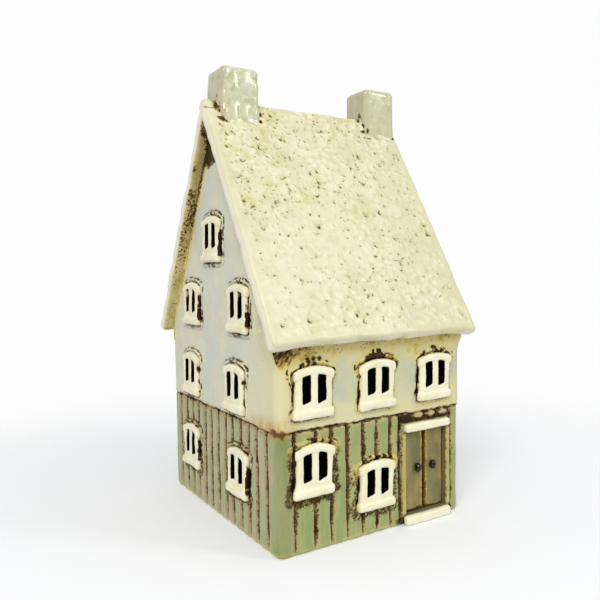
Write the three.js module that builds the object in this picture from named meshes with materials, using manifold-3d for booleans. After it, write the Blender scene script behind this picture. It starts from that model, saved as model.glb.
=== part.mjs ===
// Ceramic tealight house: a slab-built, glazed stoneware house that holds one tealight.
// Millimetres, +Z up. The door faces -Y, the opening for the tealight faces +Y,
// and the origin is the centre of the footprint on the table.
import * as THREE from "three";
import { mergeVertices, toCreasedNormals } from "three/addons/utils/BufferGeometryUtils.js";
import Module from "manifold-3d";

const wasm = await Module();
wasm.setup();

// Driving dimensions of the fits
const SLIP = 0.3; // gap in a mitred, sloping or round joint, filled with slip on the real house
const CUT_PAST = 2; // how far a cutting tool runs past the face it cuts

// Driving dimensions of the walls and floor
const HOUSE_WIDTH = 88; // outside the gable walls
const HOUSE_DEPTH = 99.5; // outside the front and rear walls
const WALL = 5;
const FLOOR = 5.3;
const CORNER_RADIUS = 2.6;
const FOOT_RADIUS = 1.6;
const PLINTH_HEIGHT = 44.8; // top of the planked lower storey

// Driving dimensions of the roof
const ROOF_APEX = 172.4; // where the two roof faces would meet, just above the rounded ridge
const EAVE_HEIGHT = 76.8; // where the roof face would meet the slab's edge, if it were sharp
const EAVE_OVERHANG = 6.5;
const VERGE_OVERHANG = 4.6;
const ROOF_SLAB = 5.2;
const ROOF_EDGE_RADIUS = 1.7;
const RIDGE_RADIUS = 1;
const FILLET_HEIGHT = 7; // clay fillet under each eave
const FILLET_END = 0.6; // how far the fillet stops short of the house's corner

// Driving dimensions of the scored planks
const PLANK = 6.85; // even pitch, on the gables and the rear
const FRONT_PLANKS = [7.2, 8.7, 7, 7.3, 7.3, 6.5, 6.6]; // from the left corner towards the door
const SCORE_WIDTH = 1.2;
const SCORE_DEPTH = 0.7;
const SCORE_FOOT = 2; // where a score starts above the table
const SCORE_WANDER = 0.35; // hand-scored lines stray this far from an even pitch
const SCORE_WAVE = 2.3; // how fast they stray from one line to the next, in radians
const SCORE_MARGIN = 3.4; // least plank left beside a corner

// Driving dimensions of a window
const SILL_WIDTH = 17.6;
const SILL_HEIGHT = 3.2;
const SILL_PROUD = 2.5;
const JAMB_SPAN = 16;
const EAR_SPAN = 17.6;
const EAR_HEIGHT = 1.8; // straight end of an ear
const FRAME_HEIGHT = 19.1;
const FRAME_PROUD = 1.8;
const CAMBER_RISE = 2.1;
const HEAD = 3.2;
const SLOT_WIDTH = 3;
const SLOT_FOOT = 5.7; // above the underside of the sill
const SLOT_CORNER = 0.5;
const MULLION = 3.7;
const FRAME_EASE = 0.55;

// Driving places of the front windows; a place along the wall is that of a window's middle
const FRONT_WINDOW_FROM_CORNER = 14.9;
const WINDOW_FROM_DOOR = 3.9; // between the lower middle window's sill and the door jamb
const FRONT_UPPER_SILL = 4.1; // over the lower storey's top
const FRONT_LEFT_SILL = 24; // under the lower storey's top
const FRONT_MIDDLE_SILL = 34.8; // under the lower storey's top

// Driving places of the gable windows, from the front and rear corners
const GABLE_LOWER_SILL = 30.2; // under the lower storey's top
const GABLE_LOWER_FROM_FRONT = 30.5;
const GABLE_LOWER_FROM_REAR = 22.5;
const GABLE_MIDDLE_SILL = 2.3; // over the lower storey's top
const GABLE_MIDDLE_FROM_FRONT = 32.4;
const GABLE_MIDDLE_FROM_REAR = 23.4;
const GABLE_UPPER_SILL = 1.6; // over the eave
const GABLE_UPPER_FROM_FRONT = 28.1;
const GABLE_UPPER_FROM_REAR = 26.1;
const ATTIC_SILL = 66.8; // under the apex
const ATTIC_BEHIND = 1.3; // behind the ridge line

// Driving dimensions of the door
const DOOR_FROM_CORNER = 19.1; // from the right corner of the front to the door's centre
const DOOR_WIDTH = 21.4;
const DOOR_TOP = 37;
const DOOR_RECESS = 3.2;
const LEAF = 2;
const LEAF_GAP = 0.8;
const LEAF_EASE = 0.4;
const DOOR_JAMB = 2.2;
const DOOR_JAMB_PROUD = 0.9;
const LINTEL_HEIGHT = 3.5;
const LINTEL_LENGTH = 23.8;
const LINTEL_PROUD = 2.6;
const STEP_HEIGHT = 4;
const STEP_LENGTH = 24.2;
const STEP_PROUD = 2.7;
const BAR_EASE = 0.9;
const KNOB_RADIUS = 1.7;
const KNOB_SET_OUT = 0.9; // centre of the ball above the leaf
const KNOB_FROM_GAP = 4;
const KNOB_HEIGHT = 21.9;

// Driving dimensions of the chimneys
const CHIMNEY_WIDTH = 16.6;
const CHIMNEY_LENGTH = 15.6; // across the ridge
const CHIMNEY_RISE = 12.4; // above the apex
const CHIMNEY_BEHIND_RIDGE = 2.6;
const CHIMNEY_TAPER = 0.6; // how far each side leans in, from the roof to the top
const CHIMNEY_FLARE = 0.9; // clay smeared out over the roof at the foot
const CHIMNEY_CORNER = 2.4;
const CHIMNEY_EASE = 1.5;
const LEFT_CHIMNEY_FROM_VERGE = 15.9; // from the roof's edge to the chimney's centre
const RIGHT_CHIMNEY_FROM_VERGE = 9.6;
const FLUE_RADIUS = 3.6;
const FLUE_FLOOR = 2.2; // clay left between the blind flue and the apex
const FLUE_EASE = 0.7;

// Driving dimensions of the rear opening and the tealight
const ARCH_WIDTH = 48;
const ARCH_HEIGHT = 35; // above the floor
const CUP_RADIUS = 19.2;
const CUP_HEIGHT = 16;
const CUP_SHEET = 0.5;
const CUP_TAPER = 0.5;
const CUP_RIM = 0.45; // radius of the rolled rim
const CUP_HEEL = 1.2;
const WAX_HEIGHT = 12.6;
const WAX_DIMPLE = 0.7;
const WICK_RADIUS = 0.8;
const WICK_STAND = 8; // above the wax
const TAB_RADIUS = 6;
const TAB_SHEET = 0.5;
const TAB_NECK_RADIUS = 1.5;
const TAB_NECK_HEIGHT = 3;

// Facets
const CORNER_STEPS = 3;
const CAMBER_STEPS = 6;
const ARCH_STEPS = 20;
const TURNED_STEPS = 40;
const KNOB_STEPS = 12;
const FLUE_STEPS = 20;
const CREASE = 0.6; // radians
const EASE_START = 0.26; // radians of a softened edge that its end face cuts off
const FACING_OUT = 0.1; // least outward part of a normal on the outside of a wall

// Sizes that follow from the driving ones
const HALF_WIDTH = HOUSE_WIDTH / 2;
const HALF_DEPTH = HOUSE_DEPTH / 2;
const EAVE_REACH = HALF_DEPTH + EAVE_OVERHANG;
const VERGE_REACH = HALF_WIDTH + VERGE_OVERHANG;
const PITCH = Math.atan2(ROOF_APEX - EAVE_HEIGHT, EAVE_REACH);
const RUN = Math.cos(PITCH);
const FALL = Math.sin(PITCH);
const SLOPE_LENGTH = EAVE_REACH / RUN;
const CHIMNEY_HEIGHT = ROOF_APEX + CHIMNEY_RISE;
const DOOR_X = HALF_WIDTH - DOOR_FROM_CORNER;
const DOORWAY = DOOR_WIDTH / 2 + DOOR_JAMB; // from the door's middle to the outside of a jamb
const QUARTER = Math.PI / 2;

// Glazes and metals
const glaze = (color, roughness) => new THREE.MeshStandardMaterial({ color, roughness, metalness: 0 });
const WALL_GLAZE = new THREE.MeshStandardMaterial({ vertexColors: true, roughness: 0.3, metalness: 0 });
const ROOF_GLAZE = glaze(0xf0ebd2, 0.25);
const CHIMNEY_GLAZE = glaze(0xb9bda2, 0.15);
const CREAM_GLAZE = glaze(0xf1ecd6, 0.25);
const FILLET_GLAZE = glaze(0xb79a62, 0.35);
const BARE_CLAY = glaze(0xcdb998, 0.8);
const LEAF_GLAZE = glaze(0x857c5c, 0.35);
const JAMB_GLAZE = glaze(0xa9a35c, 0.35);
const KNOB_GLAZE = glaze(0x241f18, 0.15);
const WAX_FINISH = glaze(0xf4f1e6, 0.5);
const WICK_FINISH = glaze(0xe4dcc6, 0.9);
const TIN_FINISH = new THREE.MeshStandardMaterial({ color: 0xc9cbcd, roughness: 0.3, metalness: 1 });
const UPPER_COLOUR = new THREE.Color(0xc9c8b4);
const PLANK_COLOUR = new THREE.Color(0x93a36b);
const CLAY_COLOUR = new THREE.Color(0xcdb998);

const house = new THREE.Group();

// Turns a closed three.js geometry into a solid that can be joined and cut.
function solid(geometry) {
  const bare = geometry.clone();
  bare.deleteAttribute("normal");
  bare.deleteAttribute("uv");
  const merged = mergeVertices(bare);
  const vertProperties = new Float32Array(merged.attributes.position.array);
  const triVerts = new Uint32Array(merged.index.array);
  return new wasm.Manifold(new wasm.Mesh({ numProp: 3, vertProperties, triVerts }));
}

// Gives the surface of a solid back as a geometry, smooth over its gentle edges.
function surface(body) {
  const { vertProperties, triVerts } = body.getMesh();
  const geometry = new THREE.BufferGeometry();
  geometry.setAttribute("position", new THREE.BufferAttribute(vertProperties, 3));
  geometry.setIndex(new THREE.BufferAttribute(triVerts, 1));
  return toCreasedNormals(geometry, CREASE);
}

function add(parent, name, geometry, material) {
  const mesh = new THREE.Mesh(geometry, material);
  mesh.name = name;
  parent.add(mesh);
  return mesh;
}

// Maps a shape's own X, Y and extrusion axes onto three axes of the parent.
function basis(across, up, along) {
  const axes = { x: [1, 0, 0], y: [0, 1, 0], z: [0, 0, 1] };
  const vector = (name) => new THREE.Vector3(...axes[name]);
  return new THREE.Matrix4().makeBasis(vector(across), vector(up), vector(along));
}
const ALONG_X = basis("y", "z", "x");
const ALONG_Y = basis("z", "x", "y");
const ALONG_Z = basis("x", "y", "z");

function polygon(points) {
  return new THREE.Shape(points.map(([a, b]) => new THREE.Vector2(a, b)));
}

// A straight bar of the given section, from one distance to another along an axis.
function bar(shape, from, to, axis = ALONG_Z, curveSegments = CORNER_STEPS) {
  const options = { depth: to - from, bevelEnabled: false, curveSegments };
  const geometry = new THREE.ExtrudeGeometry(shape, options);
  geometry.translate(0, 0, from);
  geometry.applyMatrix4(axis);
  return solid(geometry);
}

// Skins sections of one point count, each an outline at a distance along the axis.
function loft(sections, axis = ALONG_Z) {
  const count = sections[0].outline.length;
  const positions = sections.flatMap(({ at, outline }) => outline.flatMap(([a, b]) => [a, b, at]));
  const index = [];
  for (let ring = 1; ring < sections.length; ring++) {
    for (let i = 0; i < count; i++) {
      const next = (i + 1) % count;
      const [low, high] = [(ring - 1) * count, ring * count];
      index.push(low + i, low + next, high + next);
      index.push(low + i, high + next, high + i);
    }
  }
  const last = (sections.length - 1) * count;
  for (const [a, b, c] of capOf(sections[0].outline)) index.push(a, c, b);
  for (const [a, b, c] of capOf(sections.at(-1).outline)) index.push(last + a, last + b, last + c);
  const geometry = new THREE.BufferGeometry();
  geometry.setAttribute("position", new THREE.Float32BufferAttribute(positions, 3));
  geometry.setIndex(index);
  geometry.applyMatrix4(axis);
  return solid(geometry);
}

function capOf(outline) {
  const contour = outline.map(([a, b]) => new THREE.Vector2(a, b));
  return THREE.ShapeUtils.triangulateShape(contour, []);
}

// Points on an arc, both ends included.
function arc(centreA, centreB, radius, start, end, steps = CORNER_STEPS) {
  return Array.from({ length: steps + 1 }, (_, i) => {
    const angle = start + ((end - start) * i) / steps;
    return [centreA + radius * Math.cos(angle), centreB + radius * Math.sin(angle)];
  });
}

// A softened edge as pairs of distance from the end and inset of the outline there.
function easedEnd(radius) {
  const angles = [EASE_START, QUARTER / 2, QUARTER];
  return angles.map((angle, i) => ({
    along: i === 0 ? 0 : radius * (1 - Math.cos(angle)),
    inset: radius * (1 - Math.sin(angle)),
  }));
}

// A plate that stands on a face at z = 0, with its front edges softened.
function softPlate(shape, proud, ease) {
  const options = {
    depth: proud - ease,
    bevelThickness: ease,
    bevelSize: ease,
    bevelOffset: -ease,
    bevelSegments: 2,
    curveSegments: CAMBER_STEPS,
  };
  const behind = new THREE.BoxGeometry(2 * ROOF_APEX, 2 * ROOF_APEX, WALL);
  behind.translate(0, 0, -WALL / 2);
  return solid(new THREE.ExtrudeGeometry(shape, options)).subtract(solid(behind));
}

function rectangle(left, bottom, width, height) {
  return polygon([
    [left, bottom],
    [left + width, bottom],
    [left + width, bottom + height],
    [left, bottom + height],
  ]);
}

// A round piece turned about Z from a profile of radius and height, listed upwards outside.
function turned(profile, steps) {
  const points = profile.map(([radius, height]) => new THREE.Vector2(radius, height));
  const geometry = new THREE.LatheGeometry(points, steps);
  geometry.rotateX(QUARTER);
  return solid(geometry);
}

// Height of the roof's underside over a place at this distance from the ridge line.
function underRoof(fromRidge) {
  return ROOF_APEX - (fromRidge * FALL + ROOF_SLAB + SLIP) / RUN;
}

// A wall's face frame: x to the right seen from outside, y up, z outwards, z = 0 on the face.
function wallFace(turn, distance) {
  const side = new THREE.Group();
  side.rotation.z = turn;
  const face = new THREE.Group();
  face.rotation.x = QUARTER;
  face.position.y = -distance;
  side.add(face);
  house.add(side);
  return face;
}

// Plan of a wall slab, outwards and sideways: mitred ends, with half of each rounded corner.
function wallPlan(half, inset) {
  const mitreBack = SLIP / Math.SQRT2;
  const inner = half - WALL - mitreBack;
  const radius = CORNER_RADIUS - inset;
  const centre = half - CORNER_RADIUS;
  const right = arc(-CORNER_RADIUS, centre, radius, 0, QUARTER / 2);
  right.at(-1)[1] -= mitreBack;
  const left = right.map(([out, side]) => [out, -side]).reverse();
  return [[-WALL, -inner], ...left, ...right, [-WALL, inner]];
}

function wallSlab(half, top) {
  const foot = easedEnd(FOOT_RADIUS);
  const sections = foot.map(({ along, inset }) => ({ at: along, outline: wallPlan(half, inset) }));
  sections.push({ at: top, outline: wallPlan(half, 0) });
  return loft(sections, ALONG_Y);
}

// A V-shaped line scored into the face, as a section of width and outward distance.
function scoreSection() {
  const side = SCORE_WIDTH / 2;
  return [
    [-side, 0],
    [0, -SCORE_DEPTH],
    [side, 0],
    [side, CUT_PAST],
    [-side, CUT_PAST],
  ];
}

function plankScore(at) {
  const section = scoreSection().map(([across, out]) => [out, at + across]);
  return bar(polygon(section), SCORE_FOOT, PLINTH_HEIGHT, ALONG_Y);
}

function storeyScore(half) {
  const section = scoreSection().map(([across, out]) => [PLINTH_HEIGHT + across, out]);
  return bar(polygon(section), -half, half, ALONG_X);
}

// Even planks out from a middle line, as far as the corners allow.
function evenPlanks(half) {
  const most = Math.floor((half - SCORE_MARGIN) / PLANK);
  const lines = [];
  for (let i = -most; i <= most; i++) {
    lines.push(i * PLANK + SCORE_WANDER * Math.sin(SCORE_WAVE * i));
  }
  return lines;
}

// The front's uneven planks, and a line along each door jamb.
function frontPlanks() {
  const beside = DOORWAY + SCORE_WIDTH / 2;
  const lines = [];
  let line = -HALF_WIDTH;
  for (const plank of FRONT_PLANKS) {
    line += plank;
    if (line < DOOR_X - beside - SCORE_MARGIN) lines.push(line);
  }
  return [...lines, DOOR_X - beside, DOOR_X + beside];
}

function score(wall, half, lines) {
  let scored = wall.subtract(storeyScore(half));
  for (const line of lines) scored = scored.subtract(plankScore(line));
  return scored;
}

// Circle of the window's cambered head, through both ears and the crown.
const CAMBER_RADIUS = ((EAR_SPAN / 2) ** 2 + CAMBER_RISE ** 2) / (2 * CAMBER_RISE);
const CAMBER_CENTRE = FRAME_HEIGHT - CAMBER_RADIUS;

function headHeight(sideways, radius) {
  return CAMBER_CENTRE + Math.sqrt(radius ** 2 - sideways ** 2);
}

// One of the two slots of a window; side is 1 on the right and -1 on the left.
function slotOutline(side) {
  const near = MULLION / 2;
  const far = near + SLOT_WIDTH;
  const top = CAMBER_RADIUS - HEAD;
  const corner = SLOT_CORNER;
  const right = [
    [near, SLOT_FOOT + corner],
    [near + corner, SLOT_FOOT],
    [far - corner, SLOT_FOOT],
    [far, SLOT_FOOT + corner],
    [far, headHeight(far, top) - corner],
    [far - corner, headHeight(far - corner, top)],
    [near + corner, headHeight(near + corner, top)],
    [near, headHeight(near, top) - corner],
  ];
  return side > 0 ? right : right.map(([a, b]) => [-a, b]).reverse();
}

function frameShape() {
  const sill = SILL_WIDTH / 2;
  const jamb = JAMB_SPAN / 2;
  const ear = EAR_SPAN / 2;
  const shoulder = FRAME_HEIGHT - CAMBER_RISE;
  const half = [
    [sill, 0],
    [sill, SILL_HEIGHT],
    [jamb, SILL_HEIGHT + (sill - jamb)],
    [jamb, shoulder - EAR_HEIGHT - 2 * (ear - jamb)],
    [ear, shoulder - EAR_HEIGHT],
  ];
  const head = Math.asin(ear / CAMBER_RADIUS);
  const crown = arc(0, CAMBER_CENTRE, CAMBER_RADIUS, QUARTER - head, QUARTER + head, CAMBER_STEPS);
  const left = half.map(([a, b]) => [-a, b]).reverse();
  const shape = polygon([...half, ...crown, ...left]);
  shape.holes = [-1, 1].map((side) => polygon(slotOutline(side)));
  return shape;
}

function makeWindowFrame() {
  const frame = softPlate(frameShape(), FRAME_PROUD, FRAME_EASE);
  const sill = rectangle(-SILL_WIDTH / 2, 0, SILL_WIDTH, SILL_HEIGHT);
  return surface(frame.add(softPlate(sill, SILL_PROUD, FRAME_EASE)));
}
const WINDOW_FRAME = makeWindowFrame();

function addWindow(face, name, { x, sill }) {
  add(face, name, WINDOW_FRAME, CREAM_GLAZE).position.set(x, sill, 0);
}

// Cuts the two slots of every window through the wall.
function pierce(wall, windows) {
  let pierced = wall;
  for (const { x, sill } of windows) {
    for (const side of [-1, 1]) {
      const slot = slotOutline(side).map(([a, b]) => [a + x, b + sill]);
      pierced = pierced.subtract(bar(polygon(slot), -WALL - CUT_PAST, CUT_PAST));
    }
  }
  return pierced;
}

// Colours the planks and the upper storey outside, and leaves the clay bare inside.
function paintWall(geometry) {
  const { position, normal } = geometry.attributes;
  const colours = [];
  for (let i = 0; i < position.count; i += 3) {
    const height = (position.getY(i) + position.getY(i + 1) + position.getY(i + 2)) / 3;
    const outside = Math.max(normal.getZ(i), normal.getZ(i + 1), normal.getZ(i + 2)) > FACING_OUT;
    const storey = height < PLINTH_HEIGHT ? PLANK_COLOUR : UPPER_COLOUR;
    const colour = outside ? storey : CLAY_COLOUR;
    for (let corner = 0; corner < 3; corner++) colours.push(colour.r, colour.g, colour.b);
  }
  geometry.setAttribute("color", new THREE.Float32BufferAttribute(colours, 3));
  return geometry;
}

function addWall(face, name, wall) {
  add(face, name, paintWall(surface(wall)), WALL_GLAZE);
}

// What lies above the roof's underside, seen along an eave wall.
function aboveEaveWall() {
  const inside = WALL + CUT_PAST;
  const above = polygon([
    [underRoof(HALF_DEPTH + CUT_PAST), CUT_PAST],
    [underRoof(HALF_DEPTH - inside), -inside],
    [ROOF_APEX, -inside],
    [ROOF_APEX, CUT_PAST],
  ]);
  return bar(above, -HOUSE_WIDTH, HOUSE_WIDTH, ALONG_X);
}

// What lies above the roof's underside, seen across a gable.
function aboveGableWall() {
  const above = polygon([
    [-HOUSE_DEPTH, underRoof(HOUSE_DEPTH)],
    [0, underRoof(0)],
    [HOUSE_DEPTH, underRoof(HOUSE_DEPTH)],
    [HOUSE_DEPTH, ROOF_APEX + CUT_PAST],
    [-HOUSE_DEPTH, ROOF_APEX + CUT_PAST],
  ]);
  return bar(above, -WALL - CUT_PAST, CUT_PAST);
}

function eaveWall() {
  const top = underRoof(HALF_DEPTH - WALL) + CUT_PAST;
  return wallSlab(HALF_WIDTH, top).subtract(aboveEaveWall());
}

function gableWall() {
  return wallSlab(HALF_DEPTH, ROOF_APEX).subtract(aboveGableWall());
}

function frontWindows() {
  const edge = HALF_WIDTH - FRONT_WINDOW_FROM_CORNER;
  const upper = PLINTH_HEIGHT + FRONT_UPPER_SILL;
  const besideDoor = DOOR_X - DOORWAY - WINDOW_FROM_DOOR - SILL_WIDTH / 2;
  return [
    { name: "front_window_upper_left", x: -edge, sill: upper },
    { name: "front_window_upper_middle", x: 0, sill: upper },
    { name: "front_window_upper_right", x: edge, sill: upper },
    { name: "front_window_lower_left", x: -edge, sill: PLINTH_HEIGHT - FRONT_LEFT_SILL },
    { name: "front_window_lower_middle", x: besideDoor, sill: PLINTH_HEIGHT - FRONT_MIDDLE_SILL },
  ];
}

// Two windows of a gable; rearwards is the face's x direction that leads to the rear.
function gableRow(row, rearwards, sill, fromFront, fromRear) {
  return [
    { name: row + "_front", x: rearwards * (fromFront - HALF_DEPTH), sill },
    { name: row + "_rear", x: rearwards * (HALF_DEPTH - fromRear), sill },
  ];
}

function gableWindows(rearwards) {
  const lower = PLINTH_HEIGHT - GABLE_LOWER_SILL;
  const middle = PLINTH_HEIGHT + GABLE_MIDDLE_SILL;
  const upper = EAVE_HEIGHT + GABLE_UPPER_SILL;
  return [
    ...gableRow("lower", rearwards, lower, GABLE_LOWER_FROM_FRONT, GABLE_LOWER_FROM_REAR),
    ...gableRow("middle", rearwards, middle, GABLE_MIDDLE_FROM_FRONT, GABLE_MIDDLE_FROM_REAR),
    ...gableRow("upper", rearwards, upper, GABLE_UPPER_FROM_FRONT, GABLE_UPPER_FROM_REAR),
    { name: "attic", x: rearwards * ATTIC_BEHIND, sill: ROOF_APEX - ATTIC_SILL },
  ];
}

function doorRecess() {
  const opening = rectangle(DOOR_X - DOOR_WIDTH / 2, STEP_HEIGHT, DOOR_WIDTH, DOOR_TOP - STEP_HEIGHT);
  return bar(opening, -DOOR_RECESS, CUT_PAST);
}

function addFrontWall(face) {
  const windows = frontWindows();
  const wall = score(eaveWall(), HALF_WIDTH, frontPlanks()).subtract(doorRecess());
  addWall(face, "front_wall", pierce(wall, windows));
  for (const place of windows) addWindow(face, place.name, place);
}

function addGableWall(face, side, rearwards) {
  const windows = gableWindows(rearwards);
  const wall = score(gableWall(), HALF_DEPTH, evenPlanks(HALF_DEPTH));
  addWall(face, side + "_gable_wall", pierce(wall, windows));
  for (const place of windows) addWindow(face, `${side}_gable_window_${place.name}`, place);
}

// The arch that the tealight goes in by, from just under the floor's level.
function rearArch() {
  const half = ARCH_WIDTH / 2;
  const shape = new THREE.Shape();
  shape.moveTo(-half, FLOOR - SLIP);
  shape.lineTo(half, FLOOR - SLIP);
  shape.lineTo(half, FLOOR + ARCH_HEIGHT - half);
  shape.absarc(0, FLOOR + ARCH_HEIGHT - half, half, 0, Math.PI, false);
  return bar(shape, -WALL - CUT_PAST, CUT_PAST, ALONG_Z, ARCH_STEPS);
}

function addRearWall(face) {
  const wall = score(eaveWall(), HALF_WIDTH, evenPlanks(HALF_WIDTH));
  addWall(face, "rear_wall", wall.subtract(rearArch()));
}

function addFloor() {
  const width = HOUSE_WIDTH - 2 * (WALL + SLIP);
  const depth = HOUSE_DEPTH - 2 * (WALL + SLIP);
  const floor = new THREE.BoxGeometry(width, depth, FLOOR);
  add(house, "floor_slab", floor, BARE_CLAY).position.z = FLOOR / 2;
}

// A point of the front roof slope in the YZ plane, by its distance down and out from the face.
function onSlope(down, out) {
  return [-down * RUN - out * FALL, ROOF_APEX - down * FALL + out * RUN];
}

// Section of the front roof slab, from the ridge round the eave and back.
function roofSection(inset) {
  const radius = ROOF_EDGE_RADIUS - inset;
  const down = SLOPE_LENGTH - ROOF_EDGE_RADIUS;
  const ridgeCentre = ROOF_APEX - RIDGE_RADIUS / RUN;
  const crown = RIDGE_RADIUS - Math.min(inset, RIDGE_RADIUS / 2);
  const ridge = arc(0, ridgeCentre, crown, QUARTER, QUARTER + PITCH);
  const upper = arc(down, -ROOF_EDGE_RADIUS, radius, QUARTER, 0);
  const lower = arc(down, ROOF_EDGE_RADIUS - ROOF_SLAB, radius, 0, -QUARTER);
  const eave = [...upper, ...lower].map(([a, b]) => onSlope(a, b));
  return [[0, ROOF_APEX - (ROOF_SLAB - inset) / RUN], ...ridge, ...eave];
}

function roofSlab() {
  const ends = easedEnd(ROOF_EDGE_RADIUS);
  const left = ends.map(({ along, inset }) => ({ at: along - VERGE_REACH, outline: roofSection(inset) }));
  const right = left.map(({ at, outline }) => ({ at: -at, outline })).reverse();
  return surface(loft([...left, ...right], ALONG_X));
}

function addRoof() {
  const slab = roofSlab();
  add(house, "front_roof_slab", slab, ROOF_GLAZE);
  add(house, "rear_roof_slab", slab, ROOF_GLAZE).rotation.z = Math.PI;
}

// The clay pressed into the corner between an eave wall and the roof slab.
function addEaveFillet(face, name) {
  const [eave] = onSlope(SLOPE_LENGTH - ROOF_EDGE_RADIUS, -ROOF_SLAB);
  const reach = -eave - HALF_DEPTH;
  const top = underRoof(HALF_DEPTH);
  const tip = underRoof(HALF_DEPTH + reach);
  const hollow = new THREE.Shape();
  hollow.moveTo(top, 0);
  hollow.lineTo(top - FILLET_HEIGHT, 0);
  hollow.quadraticCurveTo(tip - reach, 0, tip, reach);
  const half = HALF_WIDTH - FILLET_END;
  add(face, name, surface(bar(hollow, -half, half, ALONG_X)), FILLET_GLAZE);
}

function roundedRectangle(halfX, halfY, radius) {
  const corners = [
    [1, 1],
    [-1, 1],
    [-1, -1],
    [1, -1],
  ];
  return corners.flatMap(([x, y], i) =>
    arc(x * (halfX - radius), y * (halfY - radius), radius, i * QUARTER, (i + 1) * QUARTER),
  );
}

// Everything under the roof's top faces, with the joint gap added.
function underChimney() {
  const eave = ROOF_APEX - (EAVE_REACH * FALL - SLIP) / RUN;
  const below = polygon([
    [-EAVE_REACH, eave],
    [-EAVE_REACH, eave - ROOF_SLAB],
    [EAVE_REACH, eave - ROOF_SLAB],
    [EAVE_REACH, eave],
    [0, ROOF_APEX + SLIP / RUN],
  ]);
  return bar(below, -HOUSE_WIDTH, HOUSE_WIDTH, ALONG_X);
}

function chimneySection(at, outset, ease = 0) {
  const radius = Math.max(CHIMNEY_CORNER - ease, CHIMNEY_CORNER / 4);
  const half = [CHIMNEY_WIDTH / 2, CHIMNEY_LENGTH / 2].map((size) => size + outset - ease);
  return { at, outline: roundedRectangle(...half, radius) };
}

function flue() {
  const depth = CHIMNEY_RISE - FLUE_FLOOR;
  const profile = [
    [0, -depth],
    [FLUE_RADIUS, -depth],
    [FLUE_RADIUS, -FLUE_EASE],
    [FLUE_RADIUS + FLUE_EASE, 0],
    [FLUE_RADIUS + FLUE_EASE, CUT_PAST],
    [0, CUT_PAST],
  ];
  return turned(profile, FLUE_STEPS).translate(0, 0, CHIMNEY_HEIGHT);
}

// A leaning-in chimney whose foot is cut to the ridge and smeared out over the roof.
function chimney() {
  const behind = CHIMNEY_LENGTH / 2 + CHIMNEY_BEHIND_RIDGE + CHIMNEY_FLARE;
  const foot = ROOF_APEX - (behind * FALL) / RUN - CUT_PAST;
  const smear = (ROOF_APEX - foot) / 3;
  const top = easedEnd(CHIMNEY_EASE).reverse();
  const sections = [
    chimneySection(foot, CHIMNEY_FLARE),
    chimneySection(foot + smear, CHIMNEY_FLARE / 3),
    chimneySection(foot + 2 * smear, 0),
    ...top.map(({ along, inset }) => chimneySection(CHIMNEY_HEIGHT - along, -CHIMNEY_TAPER, inset)),
  ];
  const body = loft(sections).subtract(flue()).translate(0, CHIMNEY_BEHIND_RIDGE, 0);
  return body.subtract(underChimney());
}

function addChimneys() {
  const geometry = surface(chimney());
  const left = LEFT_CHIMNEY_FROM_VERGE - VERGE_REACH;
  const right = VERGE_REACH - RIGHT_CHIMNEY_FROM_VERGE;
  add(house, "left_chimney", geometry, CHIMNEY_GLAZE).position.x = left;
  add(house, "right_chimney", geometry, CHIMNEY_GLAZE).position.x = right;
}

function addDoorLeaves(face) {
  const foot = STEP_HEIGHT + SLIP;
  const width = (DOOR_WIDTH - LEAF_GAP) / 2 - SLIP;
  const outline = rectangle(-width / 2, foot, width, DOOR_TOP - SLIP - foot);
  const leaf = surface(softPlate(outline, LEAF, LEAF_EASE));
  const offset = (LEAF_GAP + width) / 2;
  for (const [name, side] of [["left_door_leaf", -1], ["right_door_leaf", 1]]) {
    add(face, name, leaf, LEAF_GLAZE).position.set(DOOR_X + side * offset, 0, -DOOR_RECESS);
  }
}

function addDoorKnobs(face) {
  const base = -Math.asin(KNOB_SET_OUT / KNOB_RADIUS);
  const ball = arc(0, KNOB_SET_OUT, KNOB_RADIUS, base, QUARTER, KNOB_STEPS / 2);
  ball.at(-1)[0] = 0;
  const knob = surface(turned([[0, 0], ...ball], KNOB_STEPS));
  for (const [name, side] of [["left_door_knob", -1], ["right_door_knob", 1]]) {
    const x = DOOR_X + side * KNOB_FROM_GAP;
    add(face, name, knob, KNOB_GLAZE).position.set(x, KNOB_HEIGHT, LEAF - DOOR_RECESS);
  }
}

function addDoorJambs(face) {
  const foot = STEP_HEIGHT + SLIP;
  const outline = rectangle(-DOOR_JAMB / 2, foot, DOOR_JAMB, DOOR_TOP - foot);
  const jamb = surface(softPlate(outline, DOOR_JAMB_PROUD, LEAF_EASE));
  const offset = (DOOR_WIDTH + DOOR_JAMB) / 2;
  for (const [name, side] of [["left_door_jamb", -1], ["right_door_jamb", 1]]) {
    add(face, name, jamb, JAMB_GLAZE).position.x = DOOR_X + side * offset;
  }
}

function addDoorBars(face) {
  const lintel = rectangle(-LINTEL_LENGTH / 2, DOOR_TOP + SLIP, LINTEL_LENGTH, LINTEL_HEIGHT);
  const step = rectangle(-STEP_LENGTH / 2, 0, STEP_LENGTH, STEP_HEIGHT);
  const lintelPlate = surface(softPlate(lintel, LINTEL_PROUD, BAR_EASE));
  const stepPlate = surface(softPlate(step, STEP_PROUD, BAR_EASE));
  add(face, "door_lintel", lintelPlate, CREAM_GLAZE).position.x = DOOR_X;
  add(face, "door_step", stepPlate, CREAM_GLAZE).position.x = DOOR_X;
}

// Outer radius of the cup at a height; the cup is drawn, so it widens upwards.
function cupRadius(height) {
  return CUP_RADIUS - CUP_TAPER * (1 - height / CUP_HEIGHT);
}

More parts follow.
